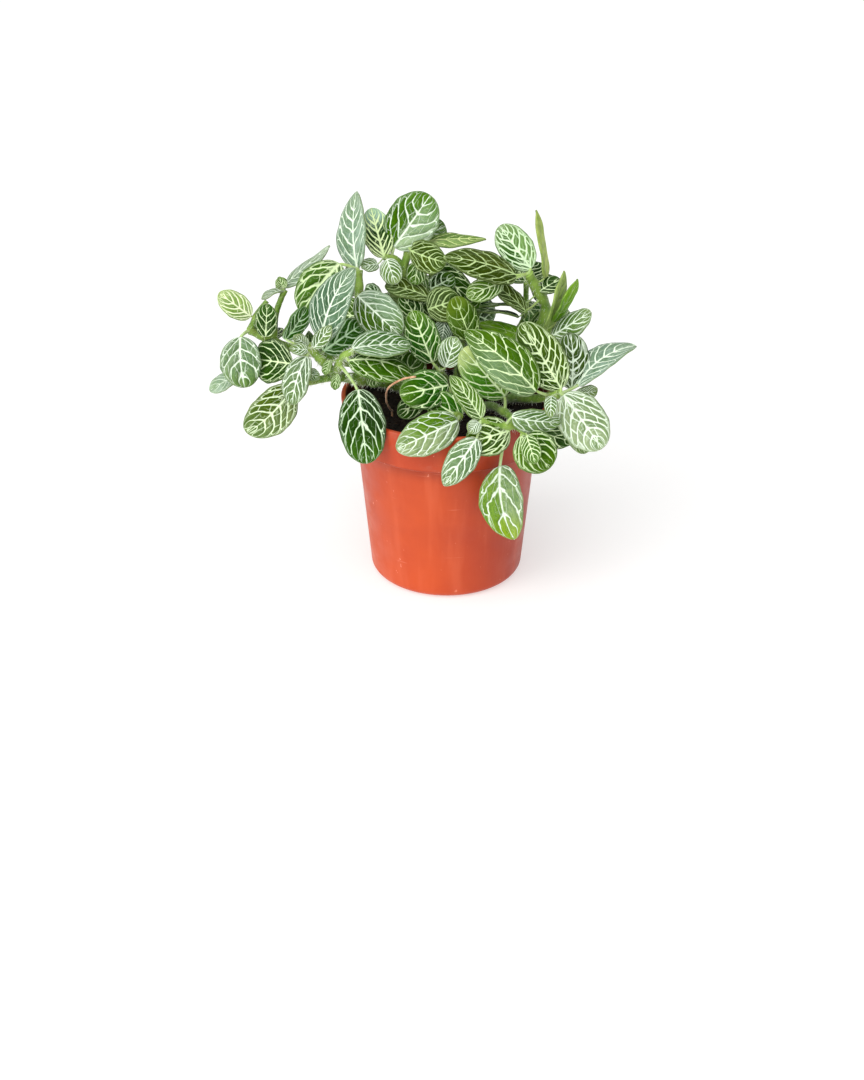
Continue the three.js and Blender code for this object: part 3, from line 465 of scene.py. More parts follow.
def leaf_material():
    """Flesh, veins and net, drawn in millimetres from what each blade's attributes say."""
    leaf = Recipe("leaf", 0.42, Specular_IOR_Level=0.04)
    across, phase, spacing = leaf.parts(leaf.attribute("vein"))
    rib_width, side_width, net_width = leaf.parts(leaf.attribute("line_width"))
    spot = leaf.attribute("spot")
    sideways, _, half = leaf.parts(spot)
    flesh = leaf.attribute("flesh", "Color")
    line = leaf.attribute("line", "Color")

    def texture(scale, detail, where=spot):
        inputs = {"Vector": where, "Scale": scale, "Detail": detail}
        return leaf.node("TexNoise", inputs, noise_dimensions="2D").outputs["Fac"]

    def drift(scale):
        return leaf.math("SUBTRACT", texture(scale, 1), 0.5)

    def from_whole(turns):
        """How far the nearest whole number is: 0 on a vein, a half midway between two."""
        return leaf.math("PINGPONG", turns, 0.5)

    def from_edge(where, randomness):
        """How far the nearest edge between two cells is."""
        made = leaf.node("TexVoronoi", {"Vector": where, "Scale": 1.0, "Randomness": randomness},
                         feature="DISTANCE_TO_EDGE", voronoi_dimensions="2D")
        return made.outputs["Distance"]

    def most(top, *others):
        for value in others:
            top = leaf.math("MAXIMUM", top, value)
        return top

    def band(distance, half_width, factor=1.0):
        """1 on a line, 0 off it, with a soft edge."""
        inner = leaf.times(half_width, LINE_CORE * factor)
        outer = leaf.times(half_width, LINE_EDGE * factor)
        return leaf.fade(distance, inner, outer, 1.0, 0.0)

    slow, quick = drift(0.3), drift(0.7)
    turn = leaf.math("ADD", phase, leaf.times_plus(quick, 0.16, leaf.times(slow, 0.5)))
    to_rib = leaf.times_plus(quick, 0.2, across)
    to_side = leaf.times(from_whole(turn), spacing)
    # reach is 0 on the midrib and 1 on the margin; each side vein bends over into the next short of that
    reach = leaf.math("DIVIDE", across, half)
    bulge = leaf.math("SINE", leaf.times(leaf.math("FRACT", turn), math.pi))
    loops = leaf.times_plus(bulge, 0.15, leaf.times_plus(quick, 0.12, LOOP_REACH))
    beyond = leaf.math("SUBTRACT", reach, loops)
    to_loop = leaf.times(leaf.math("ABSOLUTE", beyond), half)
    outside = leaf.fade(beyond, 0.0, 0.05)
    off_edge = leaf.fade(reach, 0.97, 0.9)
    # three short veins to a gap run on outside the loops, and a faint one runs midway between side veins
    to_fringe = leaf.times(leaf.times(from_whole(leaf.times(turn, 3.0)), 0.33), spacing)
    to_middle = leaf.times(from_whole(leaf.times_plus(quick, 0.5, leaf.math("ADD", turn, 0.5))), spacing)
    # the net runs across from one side vein to the next, a cell to a gap, with fine cracks in each cell
    rung = leaf.node("CombineXYZ", {0: turn, 1: leaf.math("DIVIDE", across, CELL)}).outputs[0]
    to_net = leaf.times_plus(quick, 0.15, leaf.times(from_edge(rung, 0.8), CELL))
    finer_rung = leaf.node("VectorMath", {0: rung, 1: (3, 3, 3)}, operation="MULTIPLY").outputs[0]
    to_crack = leaf.times(from_edge(finer_rung, 0.9), CELL / 3)

    side = leaf.times(band(to_side, side_width), leaf.times_plus(outside, -0.35, 1.0), off_edge)
    loop = leaf.times(band(to_loop, side_width, 0.62), leaf.fade(side_width, 0.02, 0.1, 0.0, 0.85))
    fringe = leaf.times(band(to_fringe, net_width, 0.9), outside, off_edge, 0.6)
    middle = leaf.times(band(to_middle, net_width, 0.8), leaf.fade(reach, 0.6, 0.2, 0.0, 0.3))
    net = band(to_net, leaf.math("MAXIMUM", net_width, THINNEST_NET), 0.85)
    richness = leaf.fade(net_width, 0.02, 0.15, 0.28, 1.0)
    net = leaf.times(net, richness, leaf.fade(reach, 0.95, 0.7, 0.3, 0.9))
    veins = most(band(to_rib, rib_width), side, loop, fringe, middle, net)

    # the flesh between two side veins differs a little from gap to gap
    gap_across, gap_order = leaf.times(sideways, 0.12), leaf.times(leaf.math("FLOOR", turn), 5.7)
    gap = texture(1.0, 0, leaf.node("CombineXYZ", {0: gap_across, 1: gap_order}).outputs[0])
    # painted shade: the flesh darkened in soft noise patches that stand for its hollows
    shaded = leaf.blend(leaf.fade(texture(0.35, 3), 0.35, 0.7, 0.0, 0.6), flesh, HOLLOW_SHADE_TINT, "MULTIPLY")
    shaded = leaf.blend(leaf.fade(gap, 0.6, 0.35, 0.0, 0.5), shaded, DARK_GAP_TINT, "MULTIPLY")
    fine = texture(2.0, 3)
    beside_side = leaf.fade(to_side, 0.0, 0.7, 0.4, 0.0)
    beside_rib = leaf.fade(to_rib, 0.0, 1.0, 0.55, 0.0)
    grain = leaf.fade(fine, 0.5, 0.72, 0.0, 0.45)
    cracks = leaf.times(band(to_crack, CRACK), leaf.fade(reach, 0.98, 0.8, 0.0, 0.45))
    pale_gap = leaf.fade(gap, 0.5, 0.68, 0.0, 0.3)
    lit = most(beside_side, beside_rib, grain, cracks, pale_gap)
    cells = leaf.blend(lit, shaded, LIT_TINT, "MULTIPLY")
    strength = leaf.times(veins, leaf.fade(texture(0.8, 3), 0.3, 0.55, 0.85, 1.0))
    leaf.set(Base_Color=leaf.blend(strength, cells, line))
    leaf.set(Roughness=leaf.fade(veins, 0.0, 1.0, 0.36, 0.55))
    dome = leaf.math("ADD", leaf.fade(to_side, 0.0, 0.9), leaf.math("SUBTRACT", 1.0, veins))
    leaf.bump(leaf.times_plus(fine, 0.35, dome), 0.2, 0.7)
    return leaf.material


def stem_material():
    """Green skin in the tone of each cane, with pale streaks and brown blotches."""
    stem = Recipe("stem", 0.5, Sheen_Weight=0.2, Sheen_Roughness=0.5)
    streaks = stem.fade(stem.noise(stem.place((900, 900, 260)), 1.0, 4), 0.35, 0.7, 0.0, 0.45)
    lit = stem.blend(streaks, stem.attribute("flesh", "Color"), srgb(152, 184, 76))
    blotches = stem.fade(stem.noise(stem.place(), 320), 0.5, 0.78, 0.0, 0.5)
    stem.set(Base_Color=stem.blend(blotches, lit, srgb(96, 82, 44)))
    stem.bump(stem.noise(stem.place(), 2600), 0.1, 0.4)
    return stem.material


def hair_material():
    hair = Recipe("hair", 0.45, Sheen_Weight=0.2)
    drift = hair.fade(hair.noise(hair.place(), 420, 2), 0.3, 0.7)
    hair.set(Base_Color=hair.blend(drift, srgb(250, 252, 246), srgb(228, 234, 212)))
    return hair.material


def pot_material():
    """Moulded terracotta-coloured plastic, shaded by place, with dust, specks and scratches."""
    pot = Recipe("pot_plastic", 0.4, Specular_IOR_Level=0.3)
    where = pot.place()
    across, back, height = pot.parts(where)

    def rising(start, end, low=0.0, high=1.0):
        """low at one height of the pot in millimetres, high at another."""
        return pot.fade(height, start * MM, end * MM, low, high)

    toned = pot.blend(pot.fade(pot.noise(where, 38, 4), 0.3, 0.7), srgb(196, 76, 32), srgb(178, 62, 28))
    toned = pot.blend(rising(COLLAR_LOW - 1, COLLAR_LOW + 2, 0.0, 0.5), toned, srgb(184, 66, 32))
    toned = pot.blend(rising(26, 2, 0.0, 0.35), toned, srgb(216, 84, 30))
    # painted shade: the pot darker and redder towards its right side, away from the lamps
    toned = pot.blend(pot.fade(across, -4 * MM, 24 * MM, 0.0, 0.55), toned, srgb(152, 44, 34))
    # the inner wall high up in the pot is darkened: partly soil smears, partly painted shade of the pot's
    # inside
    radius = pot.math("SQRT", pot.times_plus(across, across, pot.times(back, back)))
    inside = pot.times(pot.fade(radius, 29 * MM, 28.6 * MM), rising(45.5, 47.5))
    toned = pot.blend(pot.times(inside, 0.85), toned, srgb(52, 26, 18))
    # the step below the collar lies in its own shade
    step = pot.times(rising(38, 42.6, 0.0, 0.34), rising(COLLAR_LOW + 0.3, COLLAR_LOW + 0.9, 1.0, 0.0))
    toned = pot.blend(step, toned, srgb(126, 34, 16))
    streaks = pot.fade(pot.noise(pot.place((170, 170, 16)), 1.0), 0.45, 0.72, 0.0, 0.22)
    toned = pot.blend(streaks, toned, srgb(226, 112, 74))
    # dust gathers towards the lip, and specks and scratches come in patches
    dust = pot.fade(pot.noise(where, 140, 6, 0.7), 0.55, 0.75, 0.0, 0.5)
    dusty = pot.blend(pot.times(dust, rising(36, 52, 0.15, 1.0)), toned, srgb(176, 96, 76))
    patches = pot.fade(pot.noise(where, 95, 2), 0.52, 0.64)
    specks = pot.fade(pot.noise(pot.place((1, 1, 0.7)), 620, 3, 0.6), 0.66, 0.72, 0.0, 0.6)
    scratches = pot.fade(pot.noise(pot.place((60, 60, 900)), 1.0, 2, 0.4), 0.68, 0.74, 0.0, 0.16)
    marks = pot.math("MAXIMUM", pot.times(specks, patches), pot.times(scratches, patches))
    pot.set(Base_Color=pot.blend(marks, dusty, srgb(240, 158, 130)))
    pot.set(Roughness=pot.fade(pot.noise(where, 210, 5), 0.25, 0.8, 0.3, 0.52))
    pot.bump(pot.times_plus(pot.noise(where, 1500), 0.3, pot.noise(where, 90, 2)), 0.25, 0.25)
    return pot.material


def soil_material():
    soil = Recipe("soil", 0.92, Specular_IOR_Level=0.3)
    where = soil.place()
    clods = soil.fade(soil.noise(where, 260, 6, 0.7), 0.35, 0.7)
    fibres = soil.fade(soil.noise(soil.place((300, 1400, 900)), 1.0), 0.62, 0.68, 0.0, 0.6)
    tone = soil.blend(clods, srgb(15, 11, 9), srgb(46, 33, 25))
    soil.set(Base_Color=soil.blend(fibres, tone, srgb(104, 78, 54)))
    soil.bump(soil.noise(where, 700, 6, 0.75), 0.6, 0.9)
    return soil.material


def root_material():
    root = Recipe("aerial_root_skin", 0.5, Sheen_Weight=0.2)
    streaks = root.fade(root.noise(root.place(), 500, 4), 0.3, 0.7)
    root.set(Base_Color=root.blend(streaks, srgb(222, 176, 136), srgb(176, 120, 84)))
    root.bump(root.noise(root.place(), 3000), 0.05, 0.4)
    return root.material


def floor_material():
    glow = {"Emission_Color": (1, 1, 1, 1), "Emission_Strength": 0.5}
    floor = Recipe("pale_floor", 0.7, Specular_IOR_Level=0.1, **glow)
    tint = floor.noise(floor.place(), 3.0, 2)
    floor.set(Base_Color=floor.blend(tint, (0.56, 0.56, 0.56, 1), (0.6, 0.6, 0.595, 1)))
    return floor.material


# ---------------------------------------------------------------- making pieces
def only(piece):
    bpy.ops.object.select_all(action="DESELECT")
    piece.select_set(True)
    bpy.context.view_layer.objects.active = piece


def add_object(name, data):
    made = bpy.data.objects.new(name, data)
    bpy.context.scene.collection.objects.link(made)
    return made


def add_mesh(name, corners, faces):
    mesh = bpy.data.meshes.new(name)
    mesh.from_pydata(corners, [], faces)
    return add_object(name, mesh)


def settle(piece, name, material):
    """The piece's place goes into its mesh, and it gets its name and finish."""
    only(piece)
    bpy.ops.object.transform_apply(location=True, rotation=True, scale=True)
    piece.name = piece.data.name = name
    piece.data.materials.clear()
    piece.data.materials.append(material)
    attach(piece, "root")
    return piece


def paint(mesh, name, values, kind="FLOAT_VECTOR"):
    """One value to each vertex, as an attribute for the material to read."""
    layer = mesh.attributes.new(name, kind, "POINT")
    field = "color" if kind == "FLOAT_COLOR" else "vector"
    layer.data.foreach_set(field, [number for value in values for number in value])


def curve_path(points, count):
    """Points along a smooth curve through the given ones, evenly by parameter, with both ends."""
    def knot(index):
        if index < 0:
            return points[0] * 2 - points[1]
        if index >= len(points):
            return points[-1] * 2 - points[-2]
        return points[index]

    def at(parameter):
        span = min(int(parameter), len(points) - 2)
        weight = parameter - span
        before, start, end, after = (knot(span + step) for step in (-1, 0, 1, 2))
        spans = ((before, start), (start, end), (end, after))
        first, middle, last = (math.sqrt((b - a).length) for a, b in spans)
        leave = ((start - before) / first - (end - before) / (first + middle) + (end - start) / middle) * middle
        arrive = ((end - start) / middle - (after - start) / (middle + last) + (after - end) / last) * middle
        square, cube = weight ** 2, weight ** 3
        return (start + leave * weight + (end * 3 - start * 3 - leave * 2 - arrive) * square
                + (start * 2 - end * 2 + leave + arrive) * cube)

    return [at((len(points) - 1) * i / count) for i in range(count + 1)]


def cane(name, points, radii, sides):
    """A round rod through the points (in millimetres) with a radius at each, as a closed mesh."""
    data = bpy.data.curves.new(name, "CURVE")
    data.dimensions = "3D"
    data.bevel_depth = MM
    data.bevel_resolution = (sides // 2 - 2) // 2
    data.use_fill_caps = True
    spline = data.splines.new("POLY")
    spline.points.add(len(points) - 1)
    for knot, point, radius in zip(spline.points, points, radii):
        knot.co = (*(point * MM), 1)
        knot.radius = radius
    only(add_object(name, data))
    bpy.ops.object.convert(target="MESH")
    return bpy.context.view_layer.objects.active


def join(pieces):
    only(pieces[0])
    for piece in pieces:
        piece.select_set(True)
    bpy.ops.object.join()
    return bpy.context.view_layer.objects.active


def eased(part):
    """A share from 0 to 1 that starts and ends softly."""
    part = min(max(part, 0), 1)
    return part * part * (3 - 2 * part)


# ---------------------------------------------------------------- leaves
def outline(along, breadth):
    """Half-width along a leaf: an egg shape, and the slimmer the leaf the sharper its tip."""
    roundness = eased((breadth - SLIM_BREADTH) / (ROUND_BREADTH - SLIM_BREADTH))
    tip_power = SHARP_TIP_POWER + (ROUND_TIP_POWER - SHARP_TIP_POWER) * roundness

    def egg(spot):
        return spot ** BASE_POWER * (1 - spot) ** tip_power
    return egg(along) / egg(BASE_POWER / (BASE_POWER + tip_power))


class Blade:
    """The place and form of one leaf, in millimetres: across runs from -1 to 1, along from 0 to 1."""

    def __init__(self, title, base, tip, width, look, roll=0, fold=0.15, arch=0.05, bow=0):
        self.base, self.tip = sight(base), sight(tip)
        self.width, self.fold, self.arch, self.bow, self.look = width, fold, arch, bow, look
        self.length = (self.tip - self.base).length
        self.axis = (self.tip - self.base) / self.length
        face = EYE - self.base
        face -= self.axis * face.dot(self.axis)
        face.normalize()
        face.rotate(Quaternion(self.axis, math.radians(roll)))
        self.face, self.side = face, self.axis.cross(face)
        # leaves that hang behind the plant show their upper side to the back
        self.upper = -face if face.z < FACING_DOWN and self.base.y > BEHIND else face
        self.draw = random.Random(title)
        self.turn = self.draw.uniform(0, 6.28)
        self.pairs = LOOKS[look][VEIN_PAIRS] - sum(self.length < limit for limit in SHORT_LEAVES)

    def half(self, along):
        """Half the width, with a rippled margin."""
        ripple = 1 + 0.016 * math.sin(17 * along + self.turn) + 0.01 * math.sin(31 * along + 2 * self.turn)
        return max(self.width / 2 * outline(along, self.width / self.length) * ripple, 0.03)

    def phase(self, across, along):
        """Which side vein a point is by: a whole number on the vein, halves midway."""
        reach = abs(across)
        sweep = self.width / self.length * (VEIN_SWEEP * reach + VEIN_CURL * reach ** 3)
        sway = 0.3 * math.sin(5 * along + self.turn) + 0.35 * across * math.sin(self.turn)
        return self.pairs * (along - sweep) + sway + 0.6

    def spacing(self, across, along):
        """Millimetres from one side vein to the next."""
        step = 0.01
        here = self.phase(across, along)
        slope_up = (self.phase(across, along + step) - here) / (step * self.length)
        slope_side = (self.phase(across + step, along) - here) / (step * self.half(along))
        return min(1 / max(math.hypot(slope_up, slope_side), 0.05), 4)

    def relief(self, across, along):
        """The flesh domes between the veins, and the midrib lies in a groove."""
        away = abs(self.phase(across, along) % 1 - 0.5) * 2
        from_side = (1 - away) * self.spacing(across, along) / 2
        from_rib = abs(across) * self.half(along)
        dome = (1 - math.exp(-(from_side / SIDE_GROOVE) ** 2)) * (1 - math.exp(-(from_rib / RIB_GROOVE) ** 2))
        return DOME_HEIGHT * dome * min(1, self.width / 10) * (1 - abs(across) ** 4)

    def point(self, across, along):
        """A point of the blade: arched, folded along the midrib, waved at the margin."""
        half = self.half(along)
        crease = math.sqrt(across * across + 0.015) - 0.122
        lift = (self.arch * self.length * 4 * along * (1 - along) + self.fold * half * crease
                + BLADE_WAVE * math.sin(8 * along + across) * across ** 2
                + 0.013 * self.width * math.sin(19 * along + self.turn) * across ** 3 * min(1, self.width / 10)
                - 0.02 * self.width * abs(across) ** 5 + self.relief(across, along))
        bow = self.bow * self.length * 4 * along * (1 - along)
        return (self.base + self.axis * along * self.length + self.side * (across * half + bow)
                + self.face * (lift if along > 0 else 0))


def leaf_grid(width):
    """Columns and rows of a blade's grid."""
    if width > BROAD_LEAF:
        return 26, 36
    return (12, 18) if width < SMALL_LEAF else (18, 26)


def leaf(name, blade, material):
    """A grid bent to the blade's form, thickened, with its veins written to attributes."""
    columns, rows = leaf_grid(blade.width)
    bpy.ops.object.select_all(action="DESELECT")
    bpy.ops.mesh.primitive_grid_add(x_subdivisions=columns, y_subdivisions=rows, size=2)
    piece = bpy.context.object
    mesh = piece.data
    *tones, _, rib_width, side_width, net_width = LOOKS[blade.look]
    left, right, end, line = (srgb(*tone) for tone in tones)
    brightness = blade.draw.uniform(*BRIGHTNESS)
    warmth = blade.draw.uniform(*WARMTH)
    offset = blade.draw.uniform(0, 50)
    pale = blade.draw.uniform(*UNDERSIDE_SHARE)
    # a narrow leaf has a smaller net and thinner veins
    size = min(1, 0.4 + blade.width / 16)
    slim = min(1, 0.6 + blade.width / 22)
    veins, widths, spots, fleshes, lines = [], [], [], [], []
    for vertex in mesh.vertices:
        across = vertex.co.x
        # the rows of the grid lie closer at the base and the tip
        level = (vertex.co.y + 1) / 2
        along = 0.6 * (1 - math.cos(math.pi * level)) / 2 + 0.4 * level
        half = blade.half(along)
        reach = abs(across)
        veins.append((reach * half / size, blade.phase(across, along), blade.spacing(across, along) / size))
        rib = rib_width * (1 - 0.72 * along)
        side_vein = side_width * (1.15 - 0.6 * reach) * min(1, (1 - along) / 0.3)
        widths.append((rib * slim, side_vein * slim, net_width * slim))
        spots.append((across * half / size + offset, along * blade.length / size + offset, half / size))
        flesh = mixed(left, right, min(max(across * 2.2 + 0.5, 0), 1))
        flesh = mixed(flesh, end, 0.85 * eased((along - 0.4) / 0.55) ** 1.6)
        # painted sheen: in noise patches the flesh is mixed a little towards a pale grey-green reflection
        sheen_patch = noise.noise(Vector((across * 0.9 + offset, along * 1.8, offset)))
        flesh = shade(mixed(flesh, PAINTED_SHEEN, 0.07 * max(0, sheen_patch)), brightness)
        flesh = (flesh[0] * (1 + warmth), flesh[1], flesh[2] * (1 - warmth), 1.0)
        # the margin takes a little of the vein tone and is darkened by a tenth: partly its own tone, partly
        # painted shade that sets overlapping leaves apart
        rim = max(0, (reach - 0.94) / 0.06, (along - 0.975) / 0.025)
        fleshes.append(mixed(flesh, shade(mixed(flesh, line, 0.12), 0.9), rim))
        lines.append(line)
        vertex.co = blade.point(across, along) * MM
    paint(mesh, "vein", veins)
    paint(mesh, "line_width", widths)
    paint(mesh, "spot", spots)
    paint(mesh, "flesh", fleshes, "FLOAT_COLOR")
    paint(mesh, "line", lines, "FLOAT_COLOR")
    solid = piece.modifiers.new("thickness", "SOLIDIFY")
    solid.thickness = BLADE_THICKNESS * MM
    solid.offset = 0
    bpy.ops.object.modifier_apply(modifier=solid.name)
    flesh_layer, line_layer = mesh.attributes["flesh"].data, mesh.attributes["line"].data
    for vertex in mesh.vertices:
        if vertex.normal.dot(blade.upper) < -0.2:
            flesh = flesh_layer[vertex.index].color
            flesh_layer[vertex.index].color = mixed(flesh, UNDERSIDE, pale)
            line_layer[vertex.index].color = UNDERSIDE_VEIN
    bpy.ops.object.shade_smooth()
    return settle(piece, name, material)


# ---------------------------------------------------------------- stems, stalks and hairs
# hairs in a millimetre of stem and the half-width of a hair, and the stems that differ
USUAL_HAIRS = (7, 0.036)
HAIRS = {"stem_left": (16, 0.055), "stem_front_right": (4, 0.03), "stem_right_front": (4, 0.03)}
HAIR_LENGTHS = (0.5, 1.5)
HAIR_DROOP = 0.12
# places between a stalk's foot and its blade, and its radius there
STALK = ((0, 0.62), (0.3, 0.5), (0.6, 0.46), (0.85, 0.42))


def nearest(paths, point):
    return min((spot for path in paths for spot in path), key=lambda spot: (spot - point).length)


def rod_colour(rod, colours):
    """Each ring of a rod takes the colour of the nearest of its points."""
    values = []
    for vertex in rod.data.vertices:
        spot = min(colours, key=lambda pair: (pair[0] * MM - vertex.co).length)
        values.append(spot[1])
    paint(rod.data, "flesh", values, "FLOAT_COLOR")


def stem(name, plan, materials):
    """One leafy stem: its canes and stalks joined, its leaves, and the hairs on canes and stalks."""
    x, y = plan["root"]
    routes = []
    for order, (radius, *route) in enumerate(plan["shoots"]):
        points = [sight(point) for point in route]
        if order == 0:
            points.insert(0, Vector((x, y, SOIL_TOP + ROOT_RISE - ROOT_LAP)))
        routes.append((radius, points))
    paths = [curve_path(points, 24) for _, points in routes]
    blades = [Blade(f"{name} leaf {order}", *row) for order, row in enumerate(plan["leaves"])]
    for blade in blades:
        blade.foot = nearest(paths, blade.base)
    canes, tracks = [], []
    for order, (radius, points) in enumerate(routes):
        spots = curve_path(points, 14 * (len(points) - 1))
        if order == 0:
            spots.insert(0, Vector((x, y, SOIL_TOP - 2)))
        radii, tones = [], []
        for step, spot in enumerate(spots):
            swell = max(math.exp(-((spot - blade.foot).length / (1.3 * radius)) ** 2) for blade in blades)
            taper = 1 - 0.25 * step / len(spots)
            radii.append(radius * (taper + 0.2 * swell) * (1 + 0.02 * math.sin(step * 1.7 + order)))
            tones.append((spot, mixed(STEM_TONE, NODE_TONE, min(1, swell))))
        rod = cane(name, spots, radii, 14)
        rod_colour(rod, tones)
        canes.append(rod)
        tracks.append((spots, radii, 1.0))
    for blade in blades:
        canes.append(stalk(name, blade, tracks))
    green = join(canes)
    bpy.ops.object.shade_smooth()
    pieces = [settle(green, name + "_canes", materials["stem"])]
    pieces += [leaf(f"{name}_leaf_{order:02d}", blade, materials["leaf"]) for order, blade in enumerate(blades)]
    pieces.append(hairs(name, tracks, materials["hair"]))
    for piece in pieces:
        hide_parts(name)


def stalk(name, blade, tracks):
    """A leaf stalk that runs on as the rib under its blade."""
    scale = min(1, blade.width / 10)
    sag = blade.axis * 0.12 * (blade.base - blade.foot).length
    spots = [blade.foot.lerp(blade.base, part) - sag * math.sin(math.pi * part) * 0.5 for part, _ in STALK]
    radii = [radius * scale for _, radius in STALK]
    tracks.append((list(spots), list(radii), 0.5))
    depth = BLADE_THICKNESS / 2 - 0.06
    for step in range(9):
        along = 0.02 + step / 8 * 0.8
        radius = (0.42 - 0.36 * along) * scale
        spots.append(blade.point(0, along) - blade.face * (depth + radius * 0.35))
        radii.append(radius)
    rod = cane(name, spots, radii, 8)
    tone = mixed(STALK_TONE, srgb(*LOOKS[blade.look][VEIN_TONE]), 0.25)
    paint(rod.data, "flesh", [tone] * len(rod.data.vertices), "FLOAT_COLOR")
    return rod


def hairs(name, tracks, material):
    """Short soft hairs that stand out from the stems and stalks, each a slim three-sided spike."""
    draw = random.Random(name + " hairs")
    density, width = HAIRS.get(name, USUAL_HAIRS)
    corners, faces = [], []
    for spots, radii, amount in tracks:
        for (start, end), (thick, thin) in zip(zip(spots, spots[1:]), zip(radii, radii[1:])):
            span = end - start
            if span.length < 0.01:
                continue
            along = span.normalized()
            across = along.orthogonal().normalized()
            count = span.length * amount * density
            for _ in range(int(count) + (draw.random() < count % 1)):
                part = draw.random()
                out = Quaternion(along, draw.uniform(0, 2 * math.pi)) @ across
                root = start + span * part + out * (thick + (thin - thick) * part) * 0.9
                if root.z < SOIL_TOP + 1.5:
                    continue
                side = out.cross(along)
                lean = out + along * draw.uniform(-0.35, 0.35) + side * draw.uniform(-0.3, 0.3)
                length = draw.uniform(*HAIR_LENGTHS)
                tip = root + lean.normalized() * length - Vector((0, 0, HAIR_DROOP * length))
                first = len(corners)
                corners += [root + along * width, root - along * width * 0.5 + side * width,
                            root - along * width * 0.5 - side * width, tip]
                faces += [(first, first + 2, first + 1), (first, first + 1, first + 3),
                          (first + 1, first + 2, first + 3), (first + 2, first, first + 3)]
    piece = add_mesh(name, [corner * MM for corner in corners], faces)
    only(piece)
    bpy.ops.object.mode_set(mode="EDIT")
    bpy.ops.mesh.select_all(action="SELECT")
    bpy.ops.mesh.normals_make_consistent(inside=False)
    bpy.ops.object.mode_set(mode="OBJECT")
    return settle(piece, name + "_hairs", material)


# ---------------------------------------------------------------- pot
SMOOTH_UNDER = math.radians(32)


def arc(centre_radius, centre_height, radius, start, end, steps):
    """Points of a rounded edge, as (radius, height)."""
    turns = [math.radians(start + (end - start) * step / steps) for step in range(steps + 1)]
    return [(centre_radius + radius * math.cos(turn), centre_height + radius * math.sin(turn))
            for turn in turns]


def wall_radius(height):
    """Radius of the inside of the tapered wall."""
    taper = (BODY_TOP_RADIUS - BODY_LOW_RADIUS) / (COLLAR_LOW - BASE_ROUNDING)
    return BODY_LOW_RADIUS - WALL + taper * (height - BASE_ROUNDING)


def pot_shell(material):
    """A disc drawn up ring by ring into the tapered wall, the collar, the lip and the inside."""
    start = BODY_LOW_RADIUS - BASE_ROUNDING
    rings = arc(start, BASE_ROUNDING, BASE_ROUNDING, -90, 0, 8)[1:]
    rings += [(wall_radius(height) + WALL, height) for height in (8, 16, 24, 32, 39)]
    rings += [(BODY_TOP_RADIUS - 0.05, COLLAR_LOW - 0.7), (BODY_TOP_RADIUS + 0.2, COLLAR_LOW - 0.12)]
    rings += [(BODY_TOP_RADIUS + 0.6, COLLAR_LOW), (COLLAR_LOW_RADIUS - LIP - 0.1, COLLAR_LOW)]
    rings += arc(COLLAR_LOW_RADIUS - LIP, COLLAR_LOW + LIP, LIP, -80, 0, 5)
    rings += [(COLLAR_LOW_RADIUS + 0.25, COLLAR_LOW + 4), (RIM_RADIUS - 0.15, POT_HEIGHT - 3)]
    rings += arc(RIM_RADIUS - RIM_ROUNDING, POT_HEIGHT - RIM_ROUNDING, RIM_ROUNDING, 0, 90, 5)
    rings += arc(RIM_RADIUS - WALL + 0.05, POT_HEIGHT - RIM_ROUNDING, RIM_ROUNDING, 90, 180, 5)
    rings += [(RIM_RADIUS - WALL - LIP - 0.1, POT_HEIGHT - 4)]
    rings += [(COLLAR_LOW_RADIUS - WALL - LIP, COLLAR_LOW + 1.7)]
    rings += [(wall_radius(COLLAR_LOW), COLLAR_LOW + 1.2), (wall_radius(24), 24), (wall_radius(WALL), WALL)]
    bpy.ops.object.select_all(action="DESELECT")
    bpy.ops.mesh.primitive_circle_add(vertices=POT_FACETS, radius=start * MM, fill_type="NGON")
    piece = bpy.context.object
    bpy.ops.object.mode_set(mode="EDIT")
    bpy.ops.mesh.select_mode(type="FACE")
    bpy.ops.mesh.select_all(action="SELECT")
    bpy.ops.mesh.duplicate()
    radius, height = start, 0
    for next_radius, next_height in rings:
        rise = (next_height - height) * MM
        bpy.ops.mesh.extrude_region_move(TRANSFORM_OT_translate={"value": (0, 0, rise)})
        factor = next_radius / radius
        bpy.ops.transform.resize(value=(factor, factor, 1), center_override=(0, 0, next_height * MM))
        radius, height = next_radius, next_height
    bpy.ops.mesh.select_all(action="SELECT")
    bpy.ops.mesh.remove_doubles(threshold=0.00001)
    bpy.ops.mesh.normals_make_consistent(inside=False)
    bpy.ops.object.mode_set(mode="OBJECT")
    for order in range(4):
        turn = math.radians(45 + 90 * order)
        spot = (DRAIN_CIRCLE * math.cos(turn) * MM, DRAIN_CIRCLE * math.sin(turn) * MM, 0)
        bpy.ops.object.select_all(action="DESELECT")
        bpy.ops.mesh.primitive_cylinder_add(vertices=40, radius=DRAIN_RADIUS * MM, depth=6 * MM, location=spot)
        cutter = bpy.context.object
        only(piece)
        hole = piece.modifiers.new("drain", "BOOLEAN")
        hole.operation = "DIFFERENCE"
        hole.solver = "EXACT"
        hole.object = cutter
        bpy.ops.object.modifier_apply(modifier=hole.name)
        bpy.data.objects.remove(cutter)
    bpy.ops.object.shade_smooth_by_angle(angle=SMOOTH_UNDER)
    settle(piece, "pot_shell", material)
    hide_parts("pot")


# ---------------------------------------------------------------- soil and the hanging root
SOIL_THICKNESS = 2.2
CRUMBS = 900
CRUMB_SIZES = (0.16, 0.5)
# this share of the crumbs is larger, by this much
LARGE_SHARE, LARGE_CRUMB = 0.12, 1.5


def soil_height(x, y):
    """Height of the soil over its level, in millimetres."""
    broad = noise.noise(Vector((x * 0.11, y * 0.11, 3.1))) * 0.9
    clod = noise.noise(Vector((x * 0.5, y * 0.5, 7.7))) * 0.55
    grain = noise.noise(Vector((x * 1.5, y * 1.5, 1.3))) * 0.35
    return 0.95 + broad + clod + grain


